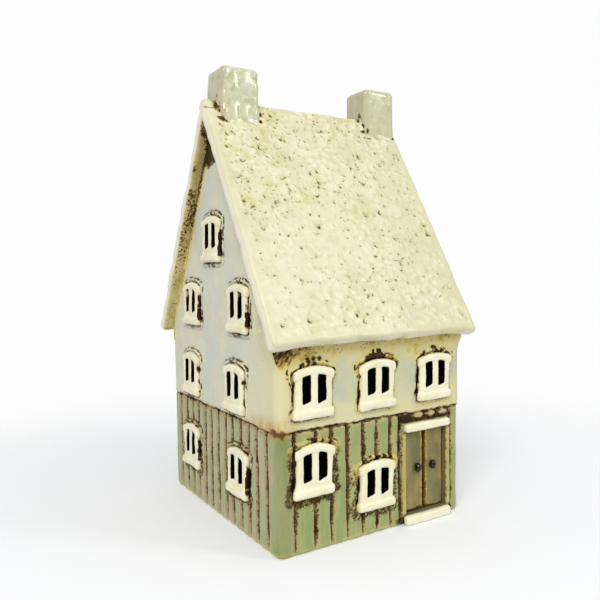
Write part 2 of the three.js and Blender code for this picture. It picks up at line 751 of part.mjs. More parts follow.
function cup() {
  const neck = CUP_HEIGHT - 2 * CUP_RIM;
  const rimCentre = cupRadius(neck) + CUP_RIM - CUP_SHEET;
  const heel = arc(cupRadius(0) - CUP_HEEL, CUP_HEEL, CUP_HEEL, -QUARTER, 0);
  const rim = arc(rimCentre, CUP_HEIGHT - CUP_RIM, CUP_RIM, 0, QUARTER * 2);
  const inside = [
    [cupRadius(CUP_SHEET) - CUP_SHEET, CUP_HEEL],
    [cupRadius(0) - CUP_HEEL, CUP_SHEET],
    [0, CUP_SHEET],
  ];
  return turned([[0, 0], ...heel, [cupRadius(neck), neck], ...rim, ...inside], TURNED_STEPS);
}

// The wax fills the cup, with a bore for the wick and room for the foot of the wick.
function wax() {
  const foot = CUP_SHEET + SLIP;
  const wall = CUP_SHEET + SLIP;
  const bore = WICK_RADIUS + SLIP;
  const tabTop = CUP_SHEET + TAB_SHEET + 2 * SLIP;
  const neckTop = tabTop + TAB_NECK_HEIGHT;
  const profile = [
    [bore, neckTop + SLIP],
    [TAB_NECK_RADIUS + SLIP, neckTop],
    [TAB_NECK_RADIUS + SLIP, tabTop],
    [TAB_RADIUS + SLIP, tabTop],
    [TAB_RADIUS + SLIP, foot],
    [cupRadius(0) - CUP_HEEL, foot],
    [cupRadius(CUP_HEEL) - wall, CUP_HEEL + SLIP],
    [cupRadius(WAX_HEIGHT) - wall, WAX_HEIGHT],
    [cupRadius(WAX_HEIGHT) - wall - WAX_DIMPLE, WAX_HEIGHT],
    [TAB_RADIUS, WAX_HEIGHT - WAX_DIMPLE / 2],
    [bore, WAX_HEIGHT - WAX_DIMPLE],
  ];
  return turned([...profile, profile[0]], TURNED_STEPS);
}

function wickTab() {
  const top = TAB_SHEET + TAB_NECK_HEIGHT;
  const bore = WICK_RADIUS + SLIP / 2;
  const profile = [
    [bore, 0],
    [TAB_RADIUS, 0],
    [TAB_RADIUS, TAB_SHEET],
    [TAB_NECK_RADIUS, TAB_SHEET],
    [TAB_NECK_RADIUS, top],
    [bore, top],
  ];
  return turned([...profile, profile[0]], FLUE_STEPS);
}

// The wick stands on the cup's floor and leans a little above the wax.
function wick() {
  const foot = CUP_SHEET + SLIP;
  const tip = WAX_HEIGHT + WICK_STAND;
  const lean = WICK_RADIUS;
  const circle = arc(0, 0, WICK_RADIUS, 0, 2 * Math.PI, KNOB_STEPS).slice(1);
  const leaning = (amount) => circle.map(([x, y]) => [x + amount, y]);
  return loft([
    { at: foot, outline: circle },
    { at: WAX_HEIGHT, outline: circle },
    { at: (WAX_HEIGHT + tip) / 2, outline: leaning(lean / 3) },
    { at: tip, outline: leaning(lean) },
  ]);
}

function addTealight() {
  const tealight = new THREE.Group();
  tealight.position.z = FLOOR;
  house.add(tealight);
  add(tealight, "tealight_cup", surface(cup()), TIN_FINISH);
  add(tealight, "tealight_wax", surface(wax()), WAX_FINISH);
  add(tealight, "tealight_wick_tab", surface(wickTab()), TIN_FINISH).position.z = CUP_SHEET + SLIP;
  add(tealight, "tealight_wick", surface(wick()), WICK_FINISH);
}

const front = wallFace(0, HALF_DEPTH);
const rear = wallFace(Math.PI, HALF_DEPTH);
const leftGable = wallFace(-QUARTER, HALF_WIDTH);
const rightGable = wallFace(QUARTER, HALF_WIDTH);

addFloor();
addFrontWall(front);
addRearWall(rear);
addGableWall(leftGable, "left", -1);
addGableWall(rightGable, "right", 1);
addRoof();
addEaveFillet(front, "front_eave_fillet");
addEaveFillet(rear, "rear_eave_fillet");
addChimneys();
addDoorLeaves(front);
addDoorKnobs(front);
addDoorJambs(front);
addDoorBars(front);
addTealight();

export default house;
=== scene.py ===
import math
from itertools import product

import bpy
import numpy as np
from mathutils import Matrix, Vector


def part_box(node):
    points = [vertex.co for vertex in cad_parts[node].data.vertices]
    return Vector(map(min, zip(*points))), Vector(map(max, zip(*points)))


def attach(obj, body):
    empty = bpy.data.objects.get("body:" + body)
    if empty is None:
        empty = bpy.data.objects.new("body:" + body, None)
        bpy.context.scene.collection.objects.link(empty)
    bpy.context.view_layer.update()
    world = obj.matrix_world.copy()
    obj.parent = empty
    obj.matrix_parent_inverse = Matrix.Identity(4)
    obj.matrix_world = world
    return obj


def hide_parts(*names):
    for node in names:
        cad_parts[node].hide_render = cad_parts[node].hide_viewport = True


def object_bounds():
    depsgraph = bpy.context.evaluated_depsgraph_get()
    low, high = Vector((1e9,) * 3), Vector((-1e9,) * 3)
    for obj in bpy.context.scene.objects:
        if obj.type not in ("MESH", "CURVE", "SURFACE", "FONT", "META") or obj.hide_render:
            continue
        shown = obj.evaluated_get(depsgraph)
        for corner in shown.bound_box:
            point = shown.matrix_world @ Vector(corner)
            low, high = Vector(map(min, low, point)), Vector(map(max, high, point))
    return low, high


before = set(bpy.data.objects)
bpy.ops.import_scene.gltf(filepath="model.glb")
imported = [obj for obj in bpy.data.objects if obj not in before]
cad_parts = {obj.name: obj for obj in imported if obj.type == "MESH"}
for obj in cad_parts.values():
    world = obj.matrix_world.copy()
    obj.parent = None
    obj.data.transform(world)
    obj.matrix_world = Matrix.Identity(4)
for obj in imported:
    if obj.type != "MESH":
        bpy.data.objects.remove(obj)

MM = 0.001
HOUSE = "house"
TEALIGHT = "tealight"
CAD_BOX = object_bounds()

# Driving dimensions of the roof and planks, as the CAD model has them
ROOF_APEX = 172.4
EAVE_HEIGHT = 76.8
EAVE_HIDES = 3.5  # how much of a wall's top the eave in front of it hides
EAVE_REACH = 56.25
ROOF_SLAB = 5.2
WALL = 5.0
CORNER_RADIUS = 2.6
FOOT_RADIUS = 1.9
PLINTH_HEIGHT = 44.8
PLANK = 6.85
FRONT_PLANKS = (7.2, 8.7, 7.0, 7.3, 7.3, 6.5, 6.6)
SCORE_WANDER = 0.35
SCORE_WAVE = 2.3
SCORE_MARGIN = 3.4
SCORE_BESIDE_JAMB = 0.6
OVER_DOOR_SCORES = (-6.9, -0.6, 5.8)  # across from the door's middle

# Driving dimensions of a window
JAMB_SPAN = 16.0
CAMBER_RISE = 2.1
HEAD = 3.2
EAR_HEIGHT = 1.8
SILL_HEIGHT = 3.2
SILL_STEP = 0.7  # how far the sill stands over the rest of the frame
SLOT_WIDTH = 3.3
SLOT_FOOT = 5.6
SLOT_SLANT = 0.32  # how much a slot's foot rises for each millimetre to the right
MULLION = 3.3
FRAME_PROUD = 1.8
LEAN = 0.9  # how far a frame's head stands to the right of its sill

# Driving dimensions of the opening behind
ARCH_HALF = 24.0
ARCH_FOOT = 5.0
ARCH_SPRING = 16.3
ARCH_EDGE = 1.0  # radius of the opening's edge

# Mesh steps
WALL_STEP = 0.4
REAR_STEP = 0.6
ROOF_STEP = 0.46
FRAME_STEP = 0.33
CHIMNEY_STEP = 0.34
KNOB_STEP = 0.15
FLOOR_SLAB_STEP = 1.0
INSIDE_STEP = 7.0
INSIDE_GABLE_STEP = 2.5
INSIDE_REAR_STEP = 1.2
TURNED_SEGMENTS = 144

PITCH = math.atan2(ROOF_APEX - EAVE_HEIGHT, EAVE_REACH)
RUN = math.cos(PITCH)
FALL = math.sin(PITCH)
SLOPE_LENGTH = EAVE_REACH / RUN


def box_mm(node):
    """The low and high corners of a CAD node's box."""
    low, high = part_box(node)
    return np.array(low) / MM, np.array(high) / MM


HALF_WIDTH = box_mm("right_gable_wall")[1][0]
HALF_DEPTH = -box_mm("front_wall")[0][1]
VERGE_REACH = box_mm("front_roof_slab")[1][0]


# Noise

def hash01(x, y, z, seed):
    """Random numbers from 0 to 1 for whole-numbered points."""
    x, y, z = (np.asarray(c).astype(np.int64).astype(np.uint32) for c in (x, y, z))
    with np.errstate(over="ignore"):
        h = x * np.uint32(0x9E3779B1) ^ y * np.uint32(0x85EBCA77) ^ z * np.uint32(0xC2B2AE3D)
        h = h ^ np.uint32((seed * 0x27D4EB2F) & 0xFFFFFFFF)
        h = (h ^ (h >> np.uint32(15))) * np.uint32(0x2C1B3C6D)
        h = (h ^ (h >> np.uint32(12))) * np.uint32(0x297A2D39)
        h = h ^ (h >> np.uint32(15))
    return h.astype(np.float64) / 2**32


def noise(points, size, seed=0):
    """Smooth noise from -1 to 1 whose features are about size across; points end in 3 numbers."""
    p = np.asarray(points, float) / size
    cell = np.floor(p)
    f = p - cell
    f = f * f * f * (f * (f * 6 - 15) + 10)
    total = 0.0
    for i, j, k in product((0, 1), repeat=3):
        share = 1.0
        for axis, corner in enumerate((i, j, k)):
            share = share * (f[..., axis] if corner else 1 - f[..., axis])
        total = total + share * hash01(cell[..., 0] + i, cell[..., 1] + j, cell[..., 2] + k, seed)
    return total * 2 - 1


def fractal(points, size, seed=0, octaves=3):
    """Noise in several sizes, each half as large and about half as strong as the one before."""
    total, strength, sum_of = 0.0, 1.0, 0.0
    for octave in range(octaves):
        total = total + strength * noise(points, size / 2**octave, seed + octave)
        sum_of += strength
        strength *= 0.55
    return total / sum_of


def flat_points(a, b, c=0.0):
    """Points from three fields or numbers."""
    return np.stack(np.broadcast_arrays(a, b, c), -1)


def smooth(start, end, x):
    """0 before start, 1 past end and an easy rise between; start may be the larger one."""
    t = np.clip((x - start) / (end - start), 0, 1)
    return t * t * (3 - 2 * t)


def bell(x, width):
    """1 where x is 0, falling to about a third at the width."""
    return np.exp(-((x / width) ** 2))


def smooth_max(a, b, ease):
    """The larger of two fields, with an easy bend about ease wide where they meet."""
    h = np.maximum(ease - np.abs(a - b), 0) / ease
    return np.maximum(a, b) + h * h * ease / 4


def smooth_min(a, b, ease):
    """The smaller of two fields, with the same easy bend."""
    return -smooth_max(-a, -b, ease)


def most(*fields):
    """The largest of several fields at each place."""
    return np.maximum.reduce(np.broadcast_arrays(*fields))


# Meshes

# What the materials read from the points of a mesh, each from 0 to 1: dark oxide, which inside the slots is
# near-black painted shade and in the door's recess, the flues' mouths and under the gables' ridge is partly
# painted shade, how freely it specks, yellow-brown glaze (in the roof's creases partly painted shade),
# rust, the second of a piece's two glazes, pale glaze (on the roof's lumps a painted highlight), bare clay
# (in the door's recess partly painted shade), and how far a glaze has turned to its colder or more worn
# shade, which on the gables over the storey line is partly painted light
ATTRIBUTES = ("stain", "speck", "ochre", "rust", "zone", "pale", "bare", "worn")


def make_piece(name, parts, material, body, nodes):
    """Joins parts of (points in mm, faces, attributes, normals or None) in one smooth object."""
    points = np.clip(np.concatenate([part[0] for part in parts]) * MM, *CAD_BOX)
    faces, normals = [], []
    start = 0
    for part_points, part_faces, _, part_normals in parts:
        faces += [[int(i) + start for i in face] for face in part_faces]
        start += len(part_points)
        if part_normals is None:
            part_normals = vertex_normals(part_points, part_faces)
        normals.append(part_normals)
    mesh = bpy.data.meshes.new(name)
    mesh.from_pydata(points.tolist(), [], faces)
    mesh.polygons.foreach_set("use_smooth", [True] * len(mesh.polygons))
    for key in ATTRIBUTES:
        values = np.concatenate([
            np.broadcast_to(part[2].get(key, 0.0), len(part[0])) for part in parts
        ])
        layer = mesh.attributes.new(key, "FLOAT", "POINT")
        layer.data.foreach_set("value", np.clip(values, 0, 1).astype(np.float32))
    mesh.normals_split_custom_set_from_vertices(np.concatenate(normals).tolist())
    mesh.materials.append(material)
    piece = bpy.data.objects.new(name, mesh)
    bpy.context.scene.collection.objects.link(piece)
    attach(piece, body)
    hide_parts(*nodes)
    return piece


MANY_SIDED = 5  # faces with as many corners as this or more


def vertex_normals(points, faces):
    """Normals of the points, each the sum of its faces' own weighted by their areas."""
    normals = np.zeros((len(points), 3))
    by_count = {}
    for face in faces:
        by_count.setdefault(min(len(face), MANY_SIDED), []).append(face)
    for count, group in by_count.items():
        if count == MANY_SIDED:
            for face in group:
                normals[face] += newell(points[list(face)])
            continue
        corners = np.array(group)
        p = points[corners]
        if count == 3:
            facing = np.cross(p[:, 1] - p[:, 0], p[:, 2] - p[:, 0])
        else:
            facing = np.cross(p[:, 2] - p[:, 0], p[:, 3] - p[:, 1])
        for i in range(count):
            np.add.at(normals, corners[:, i], facing)
    length = np.linalg.norm(normals, axis=1, keepdims=True)
    return normals / np.maximum(length, 1e-9)


def newell(loop):
    """A face's normal, as long as twice its area, for any number of corners."""
    return np.cross(loop, np.roll(loop, -1, axis=0)).sum(axis=0)


def grid_faces(keep):
    """Quads of a grid of points, where keep says which cells stay; rows run along the second axis."""
    rows, columns = keep.shape
    index = np.arange((rows + 1) * (columns + 1)).reshape(rows + 1, columns + 1)
    quads = np.stack([index[:-1, :-1], index[1:, :-1], index[1:, 1:], index[:-1, 1:]], -1)
    return quads[keep]


def used_only(points, faces, attributes, normals=None):
    """Leaves out the points that no face uses."""
    faces = np.asarray(faces)
    used = np.unique(faces)
    new = np.zeros(len(points), int)
    new[used] = np.arange(len(used))
    kept = {key: np.broadcast_to(v, len(points))[used] for key, v in attributes.items()}
    return points[used], new[faces], kept, None if normals is None else normals[used]


def boundary_loops(faces):
    """Closed runs of the edges that only one face has, in the direction of those faces."""
    faces = np.asarray(faces)
    edges = np.concatenate([faces[:, [i, (i + 1) % faces.shape[1]]] for i in range(faces.shape[1])])
    size = int(faces.max()) + 1
    forward = edges[:, 0] * size + edges[:, 1]
    backward = edges[:, 1] * size + edges[:, 0]
    lone = edges[~np.isin(forward, backward)]
    follow = dict(lone.tolist())
    loops = []
    while follow:
        start, at = follow.popitem()
        loop = [start]
        while at != start:
            loop.append(at)
            at = follow.pop(at)
        loops.append(loop)
    return loops


def zipped(flat_a, flat_b, centre):
    """Triangles that join two loops round a centre; the second loop's points follow the first's."""
    def in_order(flat):
        turn = np.arctan2(flat[:, 1] - centre[1], flat[:, 0] - centre[0])
        order = np.argsort(turn)
        return order, turn[order]

    order_a, turn_a = in_order(flat_a)
    order_b, turn_b = in_order(flat_b)
    count_a, count_b = len(order_a), len(order_b)
    i = j = 0
    faces = []
    while i < count_a or j < count_b:
        next_a = turn_a[i + 1] if i + 1 < count_a else turn_a[(i + 1) % count_a] + math.tau
        next_b = turn_b[j + 1] if j + 1 < count_b else turn_b[(j + 1) % count_b] + math.tau
        a, b = order_a[i % count_a], order_b[j % count_b]
        if j >= count_b or (i < count_a and next_a <= next_b):
            faces.append((a, order_a[(i + 1) % count_a], count_a + b))
            i += 1
        else:
            faces.append((a, count_a + order_b[(j + 1) % count_b], count_a + b))
            j += 1
    return np.array(faces)


def turned_to(points, faces, centre, outwards):
    """The faces, turned so that they look away from the centre, or towards it."""
    p = points[faces]
    facing = np.cross(p[:, 1] - p[:, 0], p[:, 2] - p[:, 0])
    away = ((p.mean(axis=1) - centre) * facing).sum(axis=1) > 0
    wrong = away != outwards
    faces[wrong] = faces[wrong][:, ::-1]
    return faces


EDGES = [
    (a, b)
    for a, b in product(product((0, 1), repeat=3), repeat=2)
    if sum(abs(p - q) for p, q in zip(a, b)) == 1 and a < b
]


def surface_net(field, low, step):
    """Points and quads of the surface where a field that is negative inside crosses zero."""
    shape = np.array(field.shape) - 1
    corner = {
        o: field[o[0]:o[0] + shape[0], o[1]:o[1] + shape[1], o[2]:o[2] + shape[2]]
        for o in product((0, 1), repeat=3)
    }
    inside = sum((c < 0).astype(np.int8) for c in corner.values())
    mixed = (inside > 0) & (inside < 8)
    cells = np.argwhere(mixed)
    index = np.full(tuple(shape), -1)
    index[mixed] = np.arange(len(cells))
    total, count = np.zeros((len(cells), 3)), np.zeros(len(cells))
    for a, b in EDGES:
        from_a, from_b = corner[a][mixed], corner[b][mixed]
        crossed = (from_a < 0) != (from_b < 0)
        t = np.where(crossed, from_a / np.where(crossed, from_a - from_b, 1), 0)
        spot = np.array(a) + t[:, None] * (np.array(b) - np.array(a))
        total += np.where(crossed[:, None], spot, 0)
        count += crossed
    points = low + (cells + total / count[:, None]) * step
    return points, net_quads(field < 0, index)


def net_quads(inside, index):
    """The quads round each edge of the samples that crosses the surface."""
    quads = []
    for axis in range(3):
        moved = np.moveaxis(inside, axis, 0)
        around = np.moveaxis(index, axis, 0)
        change = moved[:-1, 1:-1, 1:-1] != moved[1:, 1:-1, 1:-1]
        ring = np.stack([
            around[:, :-1, :-1], around[:, 1:, :-1], around[:, 1:, 1:], around[:, :-1, 1:]
        ], -1)[change]
        # np.moveaxis turns the hand of the axes for the middle one
        flip = moved[:-1, 1:-1, 1:-1][change] ^ (axis == 1)
        ring[~flip] = ring[~flip][:, ::-1]
        quads.append(ring)
    return np.concatenate(quads)


def sample_space(low, high, step):
    """A box of evenly spaced places, two steps larger all round, and its low corner."""
    low = np.asarray(low, float) - 2 * step
    counts = np.ceil((np.asarray(high, float) + 2 * step - low) / step).astype(int) + 1
    axes = [low[i] + step * np.arange(counts[i]) for i in range(3)]
    return low, np.meshgrid(*axes, indexing="ij")


# Window outline, from the middle of the underside of the sill

def flat_box(a, b, left, right, bottom, top, radius):
    """Distance outside a rectangle with rounded corners."""
    qa = np.abs(a - (left + right) / 2) - ((right - left) / 2 - radius)
    qb = np.abs(b - (bottom + top) / 2) - ((top - bottom) / 2 - radius)
    outside = np.hypot(np.maximum(qa, 0), np.maximum(qb, 0))
    return outside + np.minimum(np.maximum(qa, qb), 0) - radius


WINDOW_LOW, WINDOW_HIGH = box_mm("front_window_upper_middle")
WINDOW_WIDTH = WINDOW_HIGH[0] - WINDOW_LOW[0]
WINDOW_HEIGHT = WINDOW_HIGH[2] - WINDOW_LOW[2]
CAMBER_RADIUS = ((WINDOW_WIDTH / 2) ** 2 + CAMBER_RISE**2) / (2 * CAMBER_RISE)
CAMBER_CENTRE = WINDOW_HEIGHT - CAMBER_RADIUS


def camber(a, b, inset=0.0):
    """Distance over a frame's arched top, or over a line inset under it."""
    return np.hypot(a, b - CAMBER_CENTRE) - (CAMBER_RADIUS - inset)


def frame_outline(a, b):
    """Distance outside a window frame, seen square on."""
    shoulder = WINDOW_HEIGHT - CAMBER_RISE
    half = WINDOW_WIDTH / 2
    jambs = flat_box(a, b, -JAMB_SPAN / 2, JAMB_SPAN / 2, 0.2, WINDOW_HEIGHT + 2, 0.5)
    ears = flat_box(a, b, -half, half, shoulder - 2 * EAR_HEIGHT + 0.5, WINDOW_HEIGHT + 2, 0.9)
    sill = flat_box(a, b, -half, half, 0, SILL_HEIGHT + 0.3, 0.8)
    body = smooth_min(smooth_min(jambs, ears, 1.2), sill, 1.0)
    return smooth_max(body, camber(a, b), 0.8)


def lean_at(b):
    """How far a frame leans to the right at a height over its sill's underside."""
    return LEAN * (b / WINDOW_HEIGHT - 0.5)


def slots(a, b):
    """Distance outside the two slots of a window, which are alike on both sides."""
    near = MULLION / 2
    slot = flat_box(np.abs(a), b, near, near + SLOT_WIDTH, SLOT_FOOT, WINDOW_HEIGHT, 0.45)
    return smooth_max(slot, camber(a, b, HEAD), 0.5)


def slot_slant(a, b):
    """How much higher the foot of each slot stands towards its right, as the knife left it."""
    near = MULLION / 2
    from_left = np.where(a < 0, a + near + SLOT_WIDTH, a - near)
    return SLOT_SLANT * np.clip(from_left, 0, SLOT_WIDTH) * smooth(SLOT_FOOT + 6, SLOT_FOOT, b)


# The height of a slot's top beside the mullion
SLOT_TOP = CAMBER_CENTRE + math.sqrt((CAMBER_RADIUS - HEAD) ** 2 - (MULLION / 2) ** 2)
SLOT_ROOM = 0.35  # the wall's slots are this much wider than the frame's


# Walls

WALLS = {
    "front": {"turn": 0.0, "half": HALF_WIDTH, "out": HALF_DEPTH, "eave": True},
    "rear": {"turn": math.pi, "half": HALF_WIDTH, "out": HALF_DEPTH, "eave": True},
    "left_gable": {"turn": -math.pi / 2, "half": HALF_DEPTH, "out": HALF_WIDTH, "eave": False},
    "right_gable": {"turn": math.pi / 2, "half": HALF_DEPTH, "out": HALF_WIDTH, "eave": False},
}


def to_face(wall, point):
    """A point of the house in a wall's own across, up and outward directions."""
    turn = WALLS[wall]["turn"]
    x, y, z = point
    across = x * math.cos(turn) + y * math.sin(turn)
    out = x * math.sin(turn) - y * math.cos(turn) - WALLS[wall]["out"]
    return across, z, out


def from_face(wall, across, up, out):
    """Points of the house from a wall's own directions."""
    turn = WALLS[wall]["turn"]
    deep = -(WALLS[wall]["out"] + out)
    x = across * math.cos(turn) - deep * math.sin(turn)
    y = across * math.sin(turn) + deep * math.cos(turn)
    return flat_points(x, y, up)


def windows_of(wall):
    """(node, across, sill height) of each window frame on a wall."""
    found = []
    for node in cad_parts:
        if node.startswith(wall + "_window"):
            low, high = box_mm(node)
            across, _, _ = to_face(wall, (low + high) / 2)
            found.append((node, across, low[2]))
    return sorted(found)


# How much dark oxide lies over a window's head, how loose and speckled the clay beside it is,
# and how much of its shaded side is dark
PLAIN_SOOT = (0.35, 0.15, 0.4)
WINDOW_SOOT = {
    "front_window_upper_left": (0.5, 0.1, 0.35),
    "front_window_upper_middle": (1.0, 0.1, 0.3),
    "front_window_upper_right": (0.7, 0.3, 0.5),
    "front_window_lower_left": (0.45, 1.0, 0.6),
    "front_window_lower_middle": (0.6, 0.9, 0.6),
    "left_gable_window_attic": (0.8, 0.2, 0.95),
    "left_gable_window_upper_rear": (0.4, 0.1, 0.75),
    "left_gable_window_middle_front": (0.45, 0.1, 0.2),
    "left_gable_window_lower_front": (0.7, 0.9, 1.0),
    "left_gable_window_lower_rear": (0.5, 0.8, 0.7),
    "right_gable_window_lower_front": (0.6, 0.8, 0.8),
}

# Where single blots of oxide stand over a head, across from its middle
HEAD_BLOTS = {"front_window_upper_left": (-2.6, 0.1, 2.6)}

LINTEL = [to_face("front", corner) for corner in box_mm("door_lintel")]
DOOR_X = (LINTEL[0][0] + LINTEL[1][0]) / 2
STEP_TOP = box_mm("door_step")[1][2]
DOOR_TOP = box_mm("left_door_jamb")[1][2]
JAMB_OUT = DOOR_X - box_mm("left_door_jamb")[0][0]
DOOR_HALF = DOOR_X - box_mm("left_door_jamb")[1][0]
DOOR_DEEP = 3.2  # depth of the recess that the leaves stand in


def score_lines(wall):
    """Where the planks are scored, across a wall."""
    if wall == "front":
        beside = JAMB_OUT + SCORE_BESIDE_JAMB
        lines = [-HALF_WIDTH + sum(FRONT_PLANKS[:i + 1]) for i in range(len(FRONT_PLANKS))]
        lines = [line for line in lines if line < DOOR_X - beside - SCORE_MARGIN]
        return lines + [DOOR_X - beside, DOOR_X + beside]
    last = int((WALLS[wall]["half"] - SCORE_MARGIN) / PLANK)
    return [i * PLANK + SCORE_WANDER * math.sin(SCORE_WAVE * i) for i in range(-last, last + 1)]


def under_roof(from_ridge):
    """Height of the roof's underside at a level distance from the ridge line."""
    return ROOF_APEX - (from_ridge * FALL + ROOF_SLAB) / RUN


def along_wall(wall, path):
    """Base point and outward normal of a wall for a place along its path round both corners."""
    straight = WALLS[wall]["half"] - CORNER_RADIUS
    past = np.maximum(np.abs(path) - straight, 0) / CORNER_RADIUS
    side = np.sign(path)
    across = side * (np.minimum(np.abs(path), straight) + CORNER_RADIUS * np.sin(past))
    out = CORNER_RADIUS * (np.cos(past) - 1)
    return across, out, side * np.sin(past), np.cos(past)


GROOVE_DEPTH = 0.85
EAVE_GROOVE = 1.3  # factor on the width of the grooves in the front and rear walls
GABLE_GROOVE = 1.15
PLANK_FALL = 0.5  # how far a plank's edges lie under its middle
PLANK_SHOULDER = 2.6  # width of the part of a plank that falls away
FAR = 99.0


def nearest_score(wall, across, up):
    """How far the nearest scored line is, and how wide that one is, which tapers at its foot."""
    usual = EAVE_GROOVE if WALLS[wall]["eave"] else GABLE_GROOVE
    nearest = np.full(np.shape(across), FAR)
    strong = np.ones(np.shape(across))
    for i, line in enumerate(score_lines(wall)):
        sway = 0.30 * noise(flat_points(up, i * 7.3, line), 9, 3)
        away = np.abs(across - line - sway)
        width = usual + 0.3 * noise(flat_points(up, i * 3.1, line), 6, 4)
        end = 1 + 9 * hash01(i, 0, 0, 5) ** 2
        width = width * (0.4 + 0.6 * smooth(end - 1, end + 6, up))
        closer = away < nearest
        nearest = np.where(closer, away, nearest)
        strong = np.where(closer, width, strong)
    if wall == "front":
        for line in OVER_DOOR_SCORES:
            away = np.abs(across - DOOR_X - line) + 9 * smooth(LINTEL[1][1] + 1, LINTEL[1][1], up)
            nearest = np.minimum(nearest, away)
    return nearest, strong


def plank_relief(wall, across, up, place):
    """Height, stain, fine specks and pale edges of the scored planks."""
    nearest, strong = nearest_score(wall, across, up)
    jagged = 0.22 if WALLS[wall]["eave"] else 0.12
    foot = smooth(0.2, 2.2, up)
    groove = bell(nearest, 0.55 * strong) * foot
    height = -PLANK_FALL * (1 - np.clip(nearest / PLANK_SHOULDER, 0, 1)) ** 2 - GROOVE_DEPTH * groove
    crumbs = noise(place, 0.9, 11)
    height += 0.13 * crumbs * bell(nearest, 1.1)
    ragged = nearest / strong + jagged * crumbs + 0.16 * noise(place, 2.3, 12)
    stain = smooth(0.95, 0.35, ragged) * foot * (0.66 + 0.2 * noise(place, 4.0, 13))
    speck = 0.62 * smooth(2.6, 0.7, nearest / strong) * foot
    pale = (0.65 + 0.3 * noise(place, 3.0, 15)) * smooth(2.3, 1.0, nearest) * foot
    return height, stain, speck, pale


STOREY_DEPTH = 0.65  # of the groove between the storeys


def storey_relief(up, place):
    """Distance over the storey line, and the height, stain and pale rim along it."""
    over = up - PLINTH_HEIGHT - 0.35 * noise(place, 5, 21) - 0.25 * noise(place, 1.3, 22)
    strong = 0.9 + 0.45 * noise(place, 4.1, 23)
    groove = bell(over, 0.5) * strong
    stain = smooth(0.85, 0.25, np.abs(over) / strong + 0.3 * noise(place, 0.9, 24))
    stain *= 0.7 + 0.3 * noise(place, 3.2, 25)
    pale = bell(over + 1.05, 0.5)
    return over, -STOREY_DEPTH * groove, stain, pale


def dark_stretch(b, middle, sill, share):
    """Which stretches of a frame's shaded side are dark, by the height over its sill."""
    line = flat_points(b, middle, sill)
    patchy = noise(line, 4.5, 90) + 0.3 * noise(line, 1.5, 91)
    start, end = 0.1 - 1.3 * share, 0.7 - 1.3 * share
    return smooth(start, end, patchy) * smooth(14.5, 12, b) * smooth(1.5, 3.5, b)


WINDOW_REACH = 7  # how far the tooled clay round a frame goes
LIP_RISE = 0.50
FRAME_KEY, FRAME_KEY_STEP = 100, 7  # seeds of the clay round the first frame, and between two
HEAD_FROM, HEAD_TO = 12.5, 16.5  # over the sill, where a frame's side turns to its head


def head_oxide(node, key, a, b, d, top, place):
    """The dark mass over the middle of a frame's head, with the single blots that some have."""
    soot = WINDOW_SOOT.get(node, PLAIN_SOOT)[0]
    strokes = noise(flat_points(a * 1.5, b * 0.5, key), 1.6, key + 7)
    crown = bell(a + 0.8, 5.5) * soot * (0.35 if "gable" in node else 1.0)
    solid = crown * (0.52 + 0.6 * smooth(2.6, 0.6, d))
    mass = smooth(0.42 - solid, 0.68 - solid, strokes + 0.3 * noise(place, 0.9, key + 5))
    mass *= top * smooth(1.0 + 3.6 * crown, 0.6 + 2.6 * crown, d)
    blots = sum(bell(a - blot, 0.9) for blot in HEAD_BLOTS.get(node, ())) * top
    blots = blots * bell(d - 2.4, 0.95) * (1.1 + 0.3 * noise(place, 1.0, key + 10))
    return np.maximum(mass, blots)


def sill_smudge(gable, shaded, key, a, b):
    """Dark runs under a frame's sill."""
    under = smooth(-3.2, -1.2, b) * smooth(0.2, -0.4, b) * smooth(4.6, 3.0, np.abs(a + shaded))
    runs = noise(flat_points(a, b / 2, key), 1.3, key + 8)
    return under * smooth(-0.7, 0.2, runs) * (0.62 if gable else 0.15)


